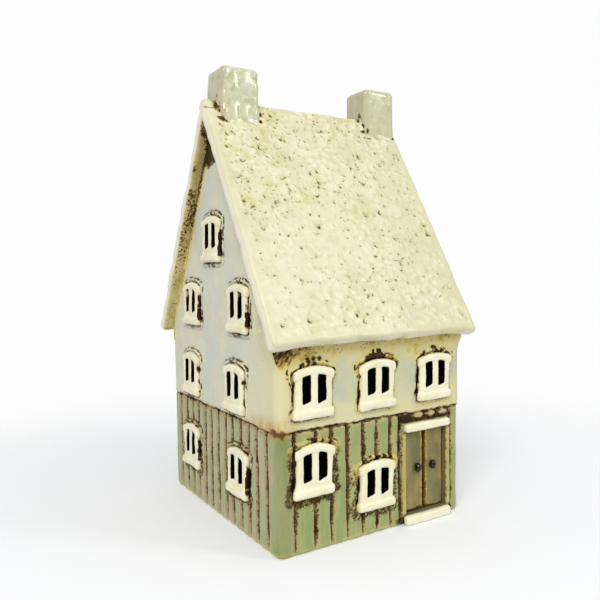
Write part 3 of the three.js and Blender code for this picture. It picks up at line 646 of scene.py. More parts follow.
def round_frame(node, middle, sill, key, a, b, d, place):
    """Height, stain, specks and tint of the clay round one frame, at a distance d outside it."""
    gable = "gable" in node
    shaded = 1 if gable else -1
    soot, crumble, flank = WINDOW_SOOT.get(node, PLAIN_SOOT)
    top = smooth(HEAD_FROM, HEAD_TO, b)
    dark_side = smooth(0.5, 3, b) * (1 - top) * smooth(-2, 5, shaded * a)
    solid = dark_side * dark_stretch(b, middle, sill, flank)
    patch = smooth(-0.25, 0.35, noise(place, 3.4, key + 1))

    # A hollow along the frame, a raised lip round it and a line scored outside the lip
    reach = (1.5 if gable else 0.85 + 0.65 * top) + 0.4 * noise(place, 3.0, key) + 0.35 * top
    wide = 0.3 + (0.75 if gable else 0.3) * solid
    hollow = bell(np.maximum(d - 0.15, 0), wide)
    line = bell(d - reach, 0.40)
    lip = LIP_RISE * smooth(0.15, 0.8, d) * smooth(reach + 0.4, reach - 0.4, d)
    crumbling = smooth(4.2, 2.0, d + noise(place, 2.5, key + 9))
    loose = crumble * smooth(0, 0.5, d) * crumbling * (1 - top * 0.5)
    crumbs = noise(place, 0.95, key + 2) * (0.10 * smooth(3.4, 1.5, d) + 0.34 * loose)
    height = lip + crumbs - (0.35 + 0.5 * dark_side) * hollow - 0.5 * line

    # Oxide in the line, in the hollow, over the head, under the sill and on the loose clay
    chain = smooth(-0.9 if gable else -0.3, 0.15, noise(place, 1.1, key + 4))
    above = 0.9 * top * np.maximum(patch, 0.9 * gable)
    where = most(0.9 * dark_side * patch, above, 0.15 + 0.25 * patch)
    dark_hollow = smooth(1.0, 0.3, d / (0.35 + wide) + 0.4 * noise(place, 1.0, key + 6))
    dark_hollow *= np.maximum(0.22 + 0.6 * solid, 0.5 * smooth(1.5, 0.3, b))
    head = head_oxide(node, key, a, b, d, top, place)
    smudge = sill_smudge(gable, shaded, key, a, b)
    grit = 0.55 * loose * smooth(-0.5, 0.3, noise(place, 1.8, key + 11))
    stain = most(line * chain * where, dark_hollow, head, smudge, grit)
    speck = np.maximum(0.85 * loose, 0.75 * soot * top * smooth(4.5, 0.5, d))
    tint = smooth(reach + 2.6, 0.3, d) * (0.15 + 0.65 * top + 0.3 * patch + 0.2 * dark_side)
    return height, stain, speck, tint * (0.5 + 0.5 * soot) * (0.3 if gable else 0.9)


def window_relief(wall, across, up, place):
    """Height, stain, specks and yellow-brown tint of the tooled clay round the window frames."""
    height, stain, speck, ochre = (np.zeros(np.shape(across)) for _ in range(4))
    for number, (node, middle, sill) in enumerate(windows_of(wall)):
        a, b = across - middle - lean_at(up - sill), up - sill
        d = frame_outline(a, b)
        near = d < WINDOW_REACH
        key = FRAME_KEY + FRAME_KEY_STEP * number
        rise, *marks = round_frame(node, middle, sill, key, a, b, d, place)
        height += np.where(near, rise, 0)
        dark, fine, tint = (np.where(near, mark, 0) for mark in marks)
        stain, speck, ochre = np.maximum(stain, dark), np.maximum(speck, fine), np.maximum(ochre, tint)
    return height, stain, speck, ochre


# Size of the dark patch under the left end of an eave, and where it starts
PATCH_HIGH, PATCH_WIDE, PATCH_END = 7, 12, -43


def eave_stain(across, up, place):
    """Oxide, fine specks and mustard glaze that run down from under an eave, most at its left end."""
    under = under_roof(HALF_DEPTH) - EAVE_HIDES - up
    drift = noise(place, 6, 46)
    left = smooth(-14, -32, across)
    corner = under / PATCH_HIGH + (across - PATCH_END) / PATCH_WIDE + 0.25 * noise(place, 2.4, 42)
    patch = smooth(1.4, 0.4, corner)
    strokes = noise(flat_points(across - up, (across + up) / 4, 0), 1.0, 43)
    dark = 0.9 * patch * smooth(-0.55, 0.1, strokes + 0.8 * (0.45 - corner))
    seam = smooth(0.7, 0.2, under + 0.5 * noise(place, 2, 47)) * smooth(0.1, 0.5, noise(place, 5, 48))
    speck = np.maximum(0.85 * patch, (0.5 + 0.12 * left) * smooth(6 + 6 * left, 0.5, under + 2 * drift))
    wash = smooth(9 + 5 * left, 1.5, under + 3 * drift) * (0.7 + 0.25 * left + 0.35 * patch)
    streaks = 0.9 + 0.3 * noise(flat_points(across, up / 4, 0), 2.2, 45)
    return np.maximum(dark, 0.3 * seam), speck, wash * streaks


LUMP_SPACING = 6.35
LUMP_START = 2.9  # of one lump's middle, across from the door's
LUMP_HALF_LENGTH = 2.6
LUMP_HALF_HEIGHT = 0.95
LUMP_DOWN = 1.5  # under the storey line
LUMP_RISE = 0.55


def front_relief(across, up, place):
    """Height, stain, specks, pale lumps and bare clay of the door's recess and what is round it; the
    recess's stain and bare clay are partly painted shade.
    """
    inside = flat_box(across - DOOR_X, up, -DOOR_HALF, DOOR_HALF, STEP_TOP, DOOR_TOP, 0.05)
    height = np.where(inside < 0.05, -DOOR_DEEP, 0.0)
    beside = np.abs(across - DOOR_X) - JAMB_OUT - SCORE_BESIDE_JAMB
    below = smooth(PLINTH_HEIGHT + 0.3, PLINTH_HEIGHT - 0.7, up)
    right = smooth(DOOR_X - 2, DOOR_X + 2, across)
    ends = np.maximum(smooth(28, 37, up) + smooth(9, 3, up), 0.9 * right) * below
    jagged = smooth(-0.3, 0.3, noise(place, 1.3, 51))
    stain = smooth(1.3, 0.3, np.abs(beside)) * ends * jagged
    # The door's recess gets a brown stain, partly painted shade.
    stain = np.maximum(stain, 0.2 * smooth(1.1, 0.3, inside))
    short = smooth(LINTEL[1][1] - 0.3, LINTEL[1][1] + 0.5, up) * below * smooth(1.2, -0.6, beside)
    row = (across - DOOR_X - LUMP_START) / LUMP_SPACING
    off_across = (row - np.round(row)) * LUMP_SPACING / LUMP_HALF_LENGTH
    off = np.hypot(off_across, (up - PLINTH_HEIGHT + LUMP_DOWN) / LUMP_HALF_HEIGHT)
    off = off + 0.22 * noise(place, 1.3, 52)
    lumps = smooth(1.2, 0.75, off) * smooth(-7.5, -6, across - DOOR_X) * short
    height += LUMP_RISE * lumps
    soot = short * (0.95 - 0.95 * lumps) * (0.85 + 0.3 * noise(place, 1.2, 54))
    corner = smooth(4.5, 1.0, np.hypot(across - LINTEL[0][0] + 0.8, up - 1.5) + noise(place, 2, 53))
    low_left = smooth(-36, -40, across) * bell(up - 9, 5)
    stain = most(stain, soot, 0.7 * corner)
    speck = np.maximum(0.5 * short * (1 - lumps), 0.42 * low_left)
    # The door's recess is also darkened as bare clay, partly painted shade.
    return height, stain, speck, lumps, 0.7 * smooth(1.1, 0.3, inside)


WEDGE_DOWN = 16  # how far the dark wedge hangs from the ridge


def gable_stain(across, up, place):
    """The dark wedge under the ridge, oxide with painted shade, and the brown stain beside the rear roof
    slab.
    """
    under = under_roof(np.abs(across)) - up
    ragged = 2.2 * noise(place, 3.5, 61) + 1.2 * noise(place, 1.2, 62)
    # Dark oxide under the ridge, with painted shade in the apex under the roof.
    wedge_oxide_and_shade = smooth(-3.0, 2.0, up + 1.3 * ragged - (under_roof(0) - WEDGE_DOWN))
    rear = smooth(-1, 4, place[..., 1])
    high = smooth(95, 130, up)
    speck = smooth(8, 2, under + 2 * noise(place, 4, 59)) * rear * (0.35 + 0.55 * high)
    wash = smooth(12, 2, under + 2.5 * noise(place, 6, 63)) * (0.35 + 0.5 * rear)
    return 0.97 * wedge_oxide_and_shade, speck, wash


FLARE = np.array([2.9, 0.9, 0.0])  # how far a corner leans out in x and in y
FLARE_HIGH, FLARE_WIDE = 13, 15


def corner_flare(place):
    """How far the walls' corners lean out to meet the eaves, in x and in y."""
    under = under_roof(HALF_DEPTH) - place[..., 2]
    away = np.hypot(np.abs(place[..., 0]) - HALF_WIDTH, np.abs(place[..., 1]) - HALF_DEPTH)
    lean = smooth(FLARE_HIGH, 0.3, under) ** 1.5 * smooth(FLARE_WIDE, 1, away)
    lean = lean * smooth(25, -20, place[..., 1])
    return np.sign(place) * lean[..., None] * FLARE


def corner_rust(edge, over, across, up, place, lower):
    """Rust and stain where the storey line meets the front left corner, and how near that is."""
    near = smooth(12, 1, HALF_WIDTH + place[..., 0]) * smooth(30, 6, HALF_DEPTH + place[..., 1])
    reach = np.hypot(edge * 0.4, over - 0.4) + 1.0 * noise(place, 2.6, 34) + 0.5 * noise(place, 1.1, 29)
    streaks = 0.7 + 0.6 * noise(flat_points(across, up / 5, 0), 1.5, 39)
    warm = smooth(7, 0.2, np.abs(over - 0.3)) * (1 - lower) * near * streaks
    rust = np.maximum(0.9 * smooth(3.0, 0.8, reach) * near, 0.95 * warm)
    return rust, 0.62 * smooth(1.7, 0.5, reach) * near, near


# Size, height and seed of each swell in a wall's face
WALL_SWELLS = ((13, 0.22, 31), (4.2, 0.12, 32), (1.2, 0.03, 33))
PLANKS_BACK = 0.42  # how far the planked storey lies behind the one over it
BAND_RISE = 0.25  # of the rib of glaze over a gable's storey line


def wall_relief(wall, path, across, up, place):
    """Height over the wall's face and the glaze attributes of its points."""
    gable = not WALLS[wall]["eave"]
    edge = WALLS[wall]["half"] - CORNER_RADIUS * (1 - math.pi / 4) - np.abs(path)
    fade = smooth(0.2, 2.4, edge)
    over, storey_height, storey_stain, storey_pale = storey_relief(up, place)
    lower = smooth(0.12, -0.12, over)
    height = sum(rise * noise(place, size, seed) for size, rise, seed in WALL_SWELLS)
    planks, plank_stain, plank_speck, plank_edge = plank_relief(wall, across, up, place)
    windows, window_stain, window_speck, ochre = window_relief(wall, across, up, place)
    height += (
        lower * (fade * (planks + PLANKS_BACK) - PLANKS_BACK)
        + storey_height * (0.4 + 0.6 * fade) + fade * windows
    )
    dark, speck, wash = (gable_stain if gable else eave_stain)(across, up, place)
    if wall == "rear":
        dark, speck = 0.4 * dark, 0.5 * speck
    stain = most(lower * plank_stain * fade, storey_stain, window_stain * fade, dark)
    at_storey = 0.4 * bell(over, 1.5)
    speck = most(lower * plank_speck * fade, at_storey, window_speck * fade, speck)
    ochre = np.maximum(ochre, wash)
    rust, corner_stain, front_left = corner_rust(edge, over, across, up, place, lower)
    stain = np.maximum(stain, corner_stain)
    beige = np.maximum(0.8 * smooth(15, 1, over + 4 * noise(place, 7, 30)) * (1 - 0.5 * gable), front_left)
    pale = np.maximum(lower * np.maximum(plank_edge, 0.9 * storey_pale), beige * (1 - lower))
    if gable:
        band = bell(over - 0.9, 0.75)
        height += BAND_RISE * band * fade
        rust = np.maximum(rust, (0.35 + 0.5 * front_left) * band)
    if wall == "rear":
        rim = arch_distance(across, up)
        height -= ARCH_EDGE * (1 - np.sqrt(1 - np.clip(1 - rim / ARCH_EDGE, 0, 1) ** 2))
        rust = np.maximum(rust, 0.7 * smooth(2.4, 0.3, rim + 0.8 * noise(place, 2.5, 36)))
    at_corner = smooth(9, 3, HALF_WIDTH + place[..., 0]) * smooth(3, 1, HALF_DEPTH + place[..., 1])
    bare = 0.25 * lower * at_corner
    if wall == "front":
        # The door's recess brings brown stain and bare clay that are partly painted shade.
        sunk, door_stain, door_speck, lumps, recess_bare_and_shade = front_relief(across, up, place)
        height = np.where(sunk < 0, sunk, height + np.maximum(sunk, 0))
        stain, speck = np.maximum(stain * (1 - lumps), door_stain), np.maximum(speck, door_speck)
        pale, bare = np.maximum(pale, lumps), np.maximum(bare, recess_bare_and_shade)
        ochre = np.maximum(ochre, (1 - lower) * (0.22 + 0.25 * noise(place, 9, 28)))
    foot = np.clip((FOOT_RADIUS - up) / FOOT_RADIUS, 0, 0.97)
    height -= FOOT_RADIUS * (1 - np.sqrt(1 - foot**2))
    ochre = np.maximum(ochre, 0.4 * smooth(3.2, 0.5, up + noise(place, 3, 37)))
    # How far the glaze turns to its worn tone on the planks, and over the storey line to the gables'
    # lighter glaze, which is partly painted light.
    worn = lower * (0.85 if gable else 0.15) * smooth(-2, 10, edge + 4 * noise(place, 8, 38))
    worn = np.maximum(worn, (1 - lower) * (0.7 if gable else 0.1))
    values = (stain, speck, ochre, rust, 1 - lower, pale, bare, worn)
    return height, dict(zip(ATTRIBUTES, values))


def arch_distance(across, up):
    """Distance outside the rear opening."""
    box = flat_box(across, up, -ARCH_HALF, ARCH_HALF, ARCH_FOOT, ARCH_SPRING + 1, 0.01)
    bow = np.hypot(across, np.maximum(up - ARCH_SPRING, 0)) - ARCH_HALF
    return np.where(up > ARCH_SPRING, bow, np.minimum(box, np.maximum(bow, ARCH_FOOT - up)))


def ruled(low, high, step, stops):
    """Places from low to high about a step apart, with one at each stop."""
    stops = sorted({round(float(s), 4) for s in [low, high, *stops] if low <= s <= high})
    places = [stops[0]]
    for start, end in zip(stops, stops[1:]):
        count = max(1, round((end - start) / step))
        places += [start + (end - start) * (i + 1) / count for i in range(count)]
    return np.array(places)


def slot_boxes(wall):
    """(left, right, bottom, top) of the slots cut through a wall."""
    near, room = MULLION / 2, SLOT_ROOM
    far = near + SLOT_WIDTH
    boxes = []
    for _, middle, sill in windows_of(wall):
        bottom, top = sill + SLOT_FOOT - room, sill + SLOT_TOP + room
        boxes.append((middle - far - room, middle - near + room, bottom, top))
        boxes.append((middle + near - room, middle + far + room, bottom, top))
    return boxes


def cell_middles(us, vs):
    """The middles of a grid's cells."""
    return np.meshgrid((us[1:] + us[:-1]) / 2, (vs[1:] + vs[:-1]) / 2, indexing="ij")


def kept_cells(wall, us, vs, to_across, hidden):
    """Which cells of a wall's grid are clay; hidden is how far the wall goes on into the roof."""
    u, v = cell_middles(us, vs)
    across = to_across(u)
    if WALLS[wall]["eave"]:
        keep = v < under_roof(HALF_DEPTH) + hidden
    else:
        keep = v < under_roof(np.abs(across)) + hidden
    for left, right, bottom, top in slot_boxes(wall):
        keep &= ~((u > left) & (u < right) & (v > bottom) & (v < top))
    if wall == "rear":
        keep &= arch_distance(across, v) > 0
    return keep


def snap_to_arch(across, up, faces):
    """Moves the open edge round the rear opening onto its true line."""
    for loop in boundary_loops(faces):
        loop = np.array(loop)
        if np.abs(arch_distance(across[loop], up[loop])).max() > 2:
            continue
        a, b = across[loop], up[loop]
        turn = np.hypot(a, b - ARCH_SPRING)
        bowed = b > ARCH_SPRING
        scale = np.where(bowed, ARCH_HALF / turn, 1)
        upright = np.where(np.abs(a) > ARCH_HALF - 1, np.sign(a) * ARCH_HALF, a)
        across[loop] = np.where(bowed, a * scale, upright)
        up[loop] = np.where(bowed, ARCH_SPRING + (b - ARCH_SPRING) * scale, b)
    return across, up


def wall_stops(wall):
    """Places across and up a wall that its grids have to meet, at the slots and the rear opening."""
    boxes = slot_boxes(wall)
    stops_u = [stop for box in boxes for stop in box[:2]]
    stops_v = [stop for box in boxes for stop in box[2:]]
    if wall == "rear":
        stops_u += [-ARCH_HALF, ARCH_HALF]
        stops_v += [ARCH_FOOT, ARCH_SPRING]
    return stops_u, stops_v


FOOT_STOPS = [0.3, 0.7, 1.2, 1.9]  # heights that the rounded foot of a wall is drawn with
RECESS_EDGE = 0.12  # width of the slope down into the door's recess
OUTER_HIDDEN = 3.0  # how far the outside of a wall goes on into the roof
INNER_HIDDEN = 5.0
OUTER_GRID_OVER = 4  # how far the grid of a wall's outside goes on over the roof's underside
INNER_GRID_OVER = 3


def outer_sheet(wall, step):
    """The outside of a wall up to the mitres at its corners, with its relief and its glaze."""
    half = WALLS[wall]["half"]
    reach = half - CORNER_RADIUS + CORNER_RADIUS * math.pi / 4
    top = under_roof(HALF_DEPTH if WALLS[wall]["eave"] else 0) + OUTER_GRID_OVER
    stops_u, stops_v = wall_stops(wall)
    stops_v += FOOT_STOPS
    if wall == "front":
        stops_u += [DOOR_X + side * (DOOR_HALF + thin) for side in (-1, 1) for thin in (0, RECESS_EDGE)]
        stops_v += [STEP_TOP, STEP_TOP - RECESS_EDGE, DOOR_TOP, DOOR_TOP + RECESS_EDGE]
    us, vs = ruled(-reach, reach, step, stops_u), ruled(0, top, step, stops_v)
    keep = kept_cells(wall, us, vs, lambda u: along_wall(wall, u)[0], OUTER_HIDDEN)
    path, up = (g.ravel() for g in np.meshgrid(us, vs, indexing="ij"))
    faces = grid_faces(keep)[:, ::-1]
    across, out, lean_across, lean_out = along_wall(wall, path)
    if wall == "rear":
        across, up = snap_to_arch(across, up, faces)
    base = from_face(wall, across, up, out)
    height, shown = wall_relief(wall, path, across, up, base)
    points = from_face(wall, across + height * lean_across, up, out + height * lean_out)
    points += corner_flare(base)
    normals = vertex_normals(points, faces)
    seam = np.abs(np.abs(path) - reach) < 1e-6
    normals[seam] = seam_normals(wall, normals[seam], np.sign(path[seam]))
    flat = np.stack([across, up], -1)
    return points, faces, shown, normals, flat


def seam_normals(wall, normals, side):
    """Normals on a corner's mitre, without their lean to either wall, so that both walls agree."""
    turn = WALLS[wall]["turn"]
    along = flat_points(
        side * math.cos(turn) + math.sin(turn), side * math.sin(turn) - math.cos(turn)
    ) / math.sqrt(2)
    up = normals[:, 2:3]
    level = np.sqrt(np.maximum(1 - up**2, 0))
    return along * level + np.array([0, 0, 1.0]) * up


def inner_sheet(wall):
    """The plain inside of a wall between the walls beside it."""
    inner = WALLS[wall]["half"] - WALL
    top = under_roof(HALF_DEPTH - WALL if WALLS[wall]["eave"] else 0) + INNER_GRID_OVER
    step = INSIDE_REAR_STEP if wall == "rear" else INSIDE_STEP
    if not WALLS[wall]["eave"]:
        step = INSIDE_GABLE_STEP
    stops_u, stops_v = wall_stops(wall)
    us, vs = ruled(-inner, inner, step, stops_u), ruled(0, top, step, stops_v)
    keep = kept_cells(wall, us, vs, lambda u: u, INNER_HIDDEN)
    across, up = (g.ravel() for g in np.meshgrid(us, vs, indexing="ij"))
    faces = grid_faces(keep)
    if wall == "rear":
        across, up = snap_to_arch(across, up, faces)
    points = from_face(wall, across, up, np.full(across.shape, -WALL))
    return points, faces, {"bare": 1.0, "zone": 1.0}, None, np.stack([across, up], -1)


def wall_edges(outer, inner):
    """Bands of clay that close the wall round its outside and through its openings."""
    bands = []
    inner_loops = boundary_loops(inner[1])
    for loop in boundary_loops(outer[1]):
        flat = outer[4][loop]
        centre = (flat.max(axis=0) + flat.min(axis=0)) / 2
        match = min(inner_loops, key=lambda other: loop_gap(inner[4][other], flat))
        points = np.concatenate([outer[0][loop], inner[0][match]])
        faces = zipped(flat, inner[4][match], centre)
        wide = np.ptp(flat[:, 0])
        faces = turned_to(points, faces, points.mean(axis=0), wide > 2 * ARCH_HALF + 5)
        slot = wide < 2 * SLOT_WIDTH
        outside = np.arange(len(points)) < len(loop)
        shown = {key: np.concatenate([v[loop], np.zeros(len(match))]) for key, v in outer[2].items()}
        shown["bare"] = np.where(outside, 0.25, 1.0)
        # Slots through the wall are marked for near-black painted shade inside.
        if slot:
            shown["stain"] = shown["bare"] = np.ones(len(points))
        bands.append((points, faces, shown, None))
    return bands


def loop_gap(a, b):
    """How unlike the boxes round two loops are."""
    return np.abs(a.min(axis=0) - b.min(axis=0)).sum() + np.abs(a.max(axis=0) - b.max(axis=0)).sum()


def make_wall(wall, step, material):
    """One wall slab: its outside, its inside and the clay between them."""
    outer = outer_sheet(wall, step)
    inner = inner_sheet(wall)
    parts = [used_only(*outer[:4]), used_only(*inner[:4]), *wall_edges(outer, inner)]
    return make_piece(wall + "_wall_glazed", parts, material, HOUSE, [wall + "_wall"])


# Roof

RIDGE_EASE = 1.3  # how far the rounded ridge lies under the sharp apex
EDGE = 2.1  # radius of the slab's edges
RIDGE_STOPS = [0.25, 0.6, 1.0]  # distances down the slope that the ridge is drawn with
UNDER_RUN = 13.5  # how far the fine sheet runs on under the slab
EDGE_IN = 0.35  # how far the edge lies inside the CAD model's, which leaves room for its relief
CORNER_DROOP = 0.7  # how far the slab sags at its lower corners


def slope_place(t):
    """Distance from the ridge line, height and outward normal at a distance down the slope."""
    drop = np.sqrt((t * FALL) ** 2 + RIDGE_EASE**2)
    steep = t * FALL**2 / drop
    length = np.hypot(steep, RUN)
    return t * RUN, ROOF_APEX - drop, steep / length, RUN / length


def roof_height(y):
    """Height of the roof's top face over a distance from the ridge line."""
    return ROOF_APEX - np.sqrt((y * FALL / RUN) ** 2 + RIDGE_EASE**2)


def round_edge(d):
    """Outward and downward travel, and the turn of the normal, for a path round the slab's edge."""
    quarter = EDGE * math.pi / 2
    flat = ROOF_SLAB - 2 * EDGE
    first = np.clip(d, 0, quarter) / EDGE
    middle = np.clip(d - quarter, 0, flat)
    second = np.clip(d - quarter - flat, 0, quarter) / EDGE
    under = np.maximum(d - 2 * quarter - flat, 0)
    out = EDGE * (np.sin(first) + np.cos(second) - 1) - under
    down = EDGE * (1 - np.cos(first)) + middle + EDGE * np.sin(second)
    return out, down, first + second


PIT_TURN = 0.6  # radians from across the roof to a pit's length, in the mean
PEBBLE = 3.0  # about the distance between the lumps of the glaze
# Cell size, radius, share of cells with a pit, and strongest stain of each kind of pit
PIT_LAYERS = ((2.0, 0.42, 0.85, 0.55), (3.4, 0.54, 0.72, 0.8), (7.5, 0.66, 0.6, 1.0))
BLUSH_X, BLUSH_DOWN, BLUSH_SIZE = 8, 52, 9  # where the roof's glaze has burnt to ochre


def cells_round(x, t, cell):
    """Columns and rows of the square cells that hold each place or touch that one."""
    column, row = np.floor(x / cell), np.floor(t / cell)
    for i, j in product((-1, 0, 1), repeat=2):
        yield column + i, row + j


def pebbles(x, t, cell, seed):
    """How far each place is from the nearest of scattered middles, in cells."""
    nearest = np.full(x.shape, FAR)
    for c, r in cells_round(x, t, cell):
        px = c + 0.1 + 0.8 * hash01(c, r, 0, seed)
        pt = r + 0.1 + 0.8 * hash01(c, r, 1, seed)
        nearest = np.minimum(nearest, np.hypot(x / cell - px, t / cell - pt))
    return nearest


def roof_pits(x, t):
    """Depth, stain and rim of the pits in the roof's glaze, and how crowded they are."""
    crowd = 0.5 + 0.5 * fractal(flat_points(x, t, 0), 24, 71, 2)
    crowd = crowd + 0.3 * smooth(75, 25, t) - 0.25 * smooth(70, 105, t) - 0.35 * smooth(10, 46, x)
    crowd = crowd + 0.28 * smooth(8, -30, x) * smooth(80, 40, t)
    depth, stain, rim = np.zeros(x.shape), np.zeros(x.shape), np.zeros(x.shape)
    for layer, (cell, radius, share, strongest) in enumerate(PIT_LAYERS):
        seed = 80 + 10 * layer
        for c, r in cells_round(x, t, cell):
            px = (c + 0.15 + 0.7 * hash01(c, r, 0, seed)) * cell
            pt = (r + 0.15 + 0.7 * hash01(c, r, 1, seed)) * cell
            turn = PIT_TURN + 1.6 * (hash01(c, r, 2, seed) - 0.5)
            stretch = 1.2 + 1.6 * hash01(c, r, 3, seed)
            size = radius * (0.55 + 0.7 * hash01(c, r, 4, seed))
            there = hash01(c, r, 5, seed) < share * np.clip(crowd - 0.1, 0.04, 0.8)
            dx, dt = x - px, t - pt
            along = dx * np.cos(turn) + dt * np.sin(turn)
            over = -dx * np.sin(turn) + dt * np.cos(turn) + 0.55 * along**2
            d = np.hypot(along / stretch, over) / size
            strength = (0.35 + 0.65 * hash01(c, r, 6, seed)) * there
            depth = np.maximum(depth, bell(d, 0.95) * strength * size * 1.6)
            stain = np.maximum(stain, smooth(1.15, 0.3, d) * strength * strongest)
            rim = np.maximum(rim, bell(d - 1.6, 0.6) * strength * size)
    return depth, stain, rim, crowd


ROOF_SWELL = 0.26
PEBBLE_RISE = 0.30
KNOBBLE_RISE = 0.22
LUMPS_DOWN = 0.14  # keeps the mean of the glaze's face in place
PIT_DEPTH = 1.15
PIT_RIM = 0.35


def roof_relief(x, t, edge, turn, place, rear):
    """Height and glaze attributes of a roof slab; edge is the distance past its flat top."""
    top = smooth(1.5, 0.3, turn)
    calm = smooth(1.5, 6, np.minimum(VERGE_REACH - np.abs(x), SLOPE_LENGTH - t))
    shown_top = top * (0.25 + 0.75 * calm) * smooth(0.5, -2.0, edge)
    soft = ROOF_SWELL * noise(place, 10, 72) + ROOF_SWELL * noise(place, 4.8, 73)
    bent_x = x + 0.9 * noise(place, 3.4, 76) + 0.3 * noise(place, 1.3, 64)
    off = pebbles(bent_x, t + 0.9 * noise(place, 3.0, 75), PEBBLE, 79)
    uneven = 0.5 + 0.5 * noise(place, 7, 63)
    lumps = PEBBLE_RISE * uneven * (1 - 2.2 * off**2) + KNOBBLE_RISE * noise(place, 2.1, 74) - LUMPS_DOWN
    depth, stain, rim, crowd = roof_pits(x, t)
    height = soft + (lumps - PIT_DEPTH * depth + PIT_RIM * rim) * shown_top
    crease = smooth(0.45, 0.8, off) * uneven
    open_crease = smooth(0.2, 0.55, noise(place, 3.6, 66) + 0.7 * (crowd - 0.5))
    stroke = smooth(0.5, 0.75, off) * open_crease * (0.3 + 0.3 * noise(place, 2, 67))
    # Olive in the creases between the lumps: olive glaze, and partly painted shade.
    olive = crease * (0.08 + 0.35 * np.clip(crowd, 0, 1))
    halo = smooth(0.5, 0.9, crowd) * smooth(0.1, 0.6, noise(place, 5, 68))
    foot = foot_stain(x, -t if rear else t, place)
    under = smooth(1.9, 2.6, turn)
    high = smooth(95, 35, t)
    eave = smooth(SLOPE_LENGTH - 5, SLOPE_LENGTH, t) * smooth(-0.1, 0.5, noise(place, 5, 78))
    blush = bell(x - BLUSH_X, BLUSH_SIZE) * bell(t - BLUSH_DOWN, BLUSH_SIZE)
    blush *= smooth(-0.5, 0.5, noise(place, 2.5, 69))
    near_pit = most(0.8 * rim, 0.45 * halo, 0.5 * blush)
    inner = smooth(1.0, 3.0, edge - EDGE)
    return height, {
        "stain": np.maximum(np.maximum(stain, stroke) * shown_top, foot * top),
        "speck": under * (0.36 + 0.2 * inner + 0.3 * high) * smooth(-0.9, 0.0, noise(place, 7, 77)),
        "ochre": most(np.maximum(olive, near_pit) * shown_top, under * (0.3 + 0.3 * inner), 0.4 * eave),
        "rust": np.maximum(0.5 * foot * top, under * inner * (0.2 + 0.25 * high)),
        "zone": smooth(0.7, 1.4, turn) * (1 - under),
        # Lump tops paler: painted highlight.
        "pale": smooth(0.6, 0.1, off) * uneven * shown_top,
        "worn": smooth(0, 42, x) * top,
    }


def foot_stain(x, t, place):
    """Dark spots where the chimneys stand on the roof; t is less than 0 behind the ridge."""
    stain = np.zeros(x.shape)
    for name in ("left_chimney", "right_chimney"):
        low, high = box_mm(name)
        d = flat_box(x, t, low[0], high[0], -high[1] / RUN, -low[1] / RUN, 1.0)
        left = smooth(low[0] + 4, low[0] - 1, x)
        patch = smooth(0.25 - 0.5 * left, 0.6 - 0.3 * left, noise(place, 1.7, 65))
        stain = np.maximum(stain, patch * smooth(2.4 + 1.5 * left, 0.6, d) * smooth(-2.5, -0.5, d))
    return stain


def roof_slab(rear, material):
    """A slab drawn as one sheet over its top, round its edges and a little way under it."""
    past = EDGE * math.pi + (ROOF_SLAB - 2 * EDGE) + UNDER_RUN
    reach_x, reach_t = VERGE_REACH - EDGE, SLOPE_LENGTH - EDGE
    xs = ruled(-reach_x - past, reach_x + past, ROOF_STEP, [0])
    ts = ruled(0, reach_t + past, ROOF_STEP, RIDGE_STOPS)
    x, t = (g.ravel() for g in np.meshgrid(xs, ts, indexing="ij"))
    qx, qt = np.sign(x) * np.maximum(np.abs(x) - reach_x, 0), np.maximum(t - reach_t, 0)
    d = np.hypot(qx, qt)
    way_x, way_t = qx / np.maximum(d, 1e-9), qt / np.maximum(d, 1e-9)
    out, down, turn = round_edge(np.minimum(d, past))
    core_x, core_t = np.clip(x, -reach_x, reach_x), np.minimum(t, reach_t)
    away, z, lean, rise = slope_place(core_t)
    side = 1 if rear else -1
    face = flat_points(0 * x, side * lean, rise)
    down_slope = flat_points(0 * x, side * rise, -lean)
    sideways = flat_points(way_x, 0 * x, 0 * x) + way_t[:, None] * down_slope
    base = flat_points(core_x, side * away, z) + out[:, None] * sideways - down[:, None] * face
    facing = np.sin(turn)[:, None] * sideways + np.cos(turn)[:, None] * face
    edge = np.maximum(np.abs(x) - reach_x, t - reach_t)
    at_x, at_t = core_x + way_x * np.minimum(out, EDGE), core_t + way_t * np.minimum(out, EDGE)
    height, shown = roof_relief(at_x, at_t, edge, turn, base, rear)
    inward = EDGE_IN * (1 - smooth(1.9, 2.6, turn)) * smooth(0.1, 1.2, turn)
    points = base + (height - inward)[:, None] * facing
    corner = smooth(15, 2, SLOPE_LENGTH - core_t) * smooth(16, 3, VERGE_REACH - np.abs(x))
    points[:, 2] -= CORNER_DROOP * corner
    points[t < 1e-6, 1] = 0.0
    counts = (len(xs), len(ts))
    d_grid = d.reshape(counts)
    keep = np.minimum.reduce([d_grid[:-1, :-1], d_grid[1:, :-1], d_grid[:-1, 1:], d_grid[1:, 1:]])
    faces = grid_faces(keep < past - 0.3)
    if not rear:
        faces = faces[:, ::-1]
    return close_roof(points, faces, shown, rear, material)


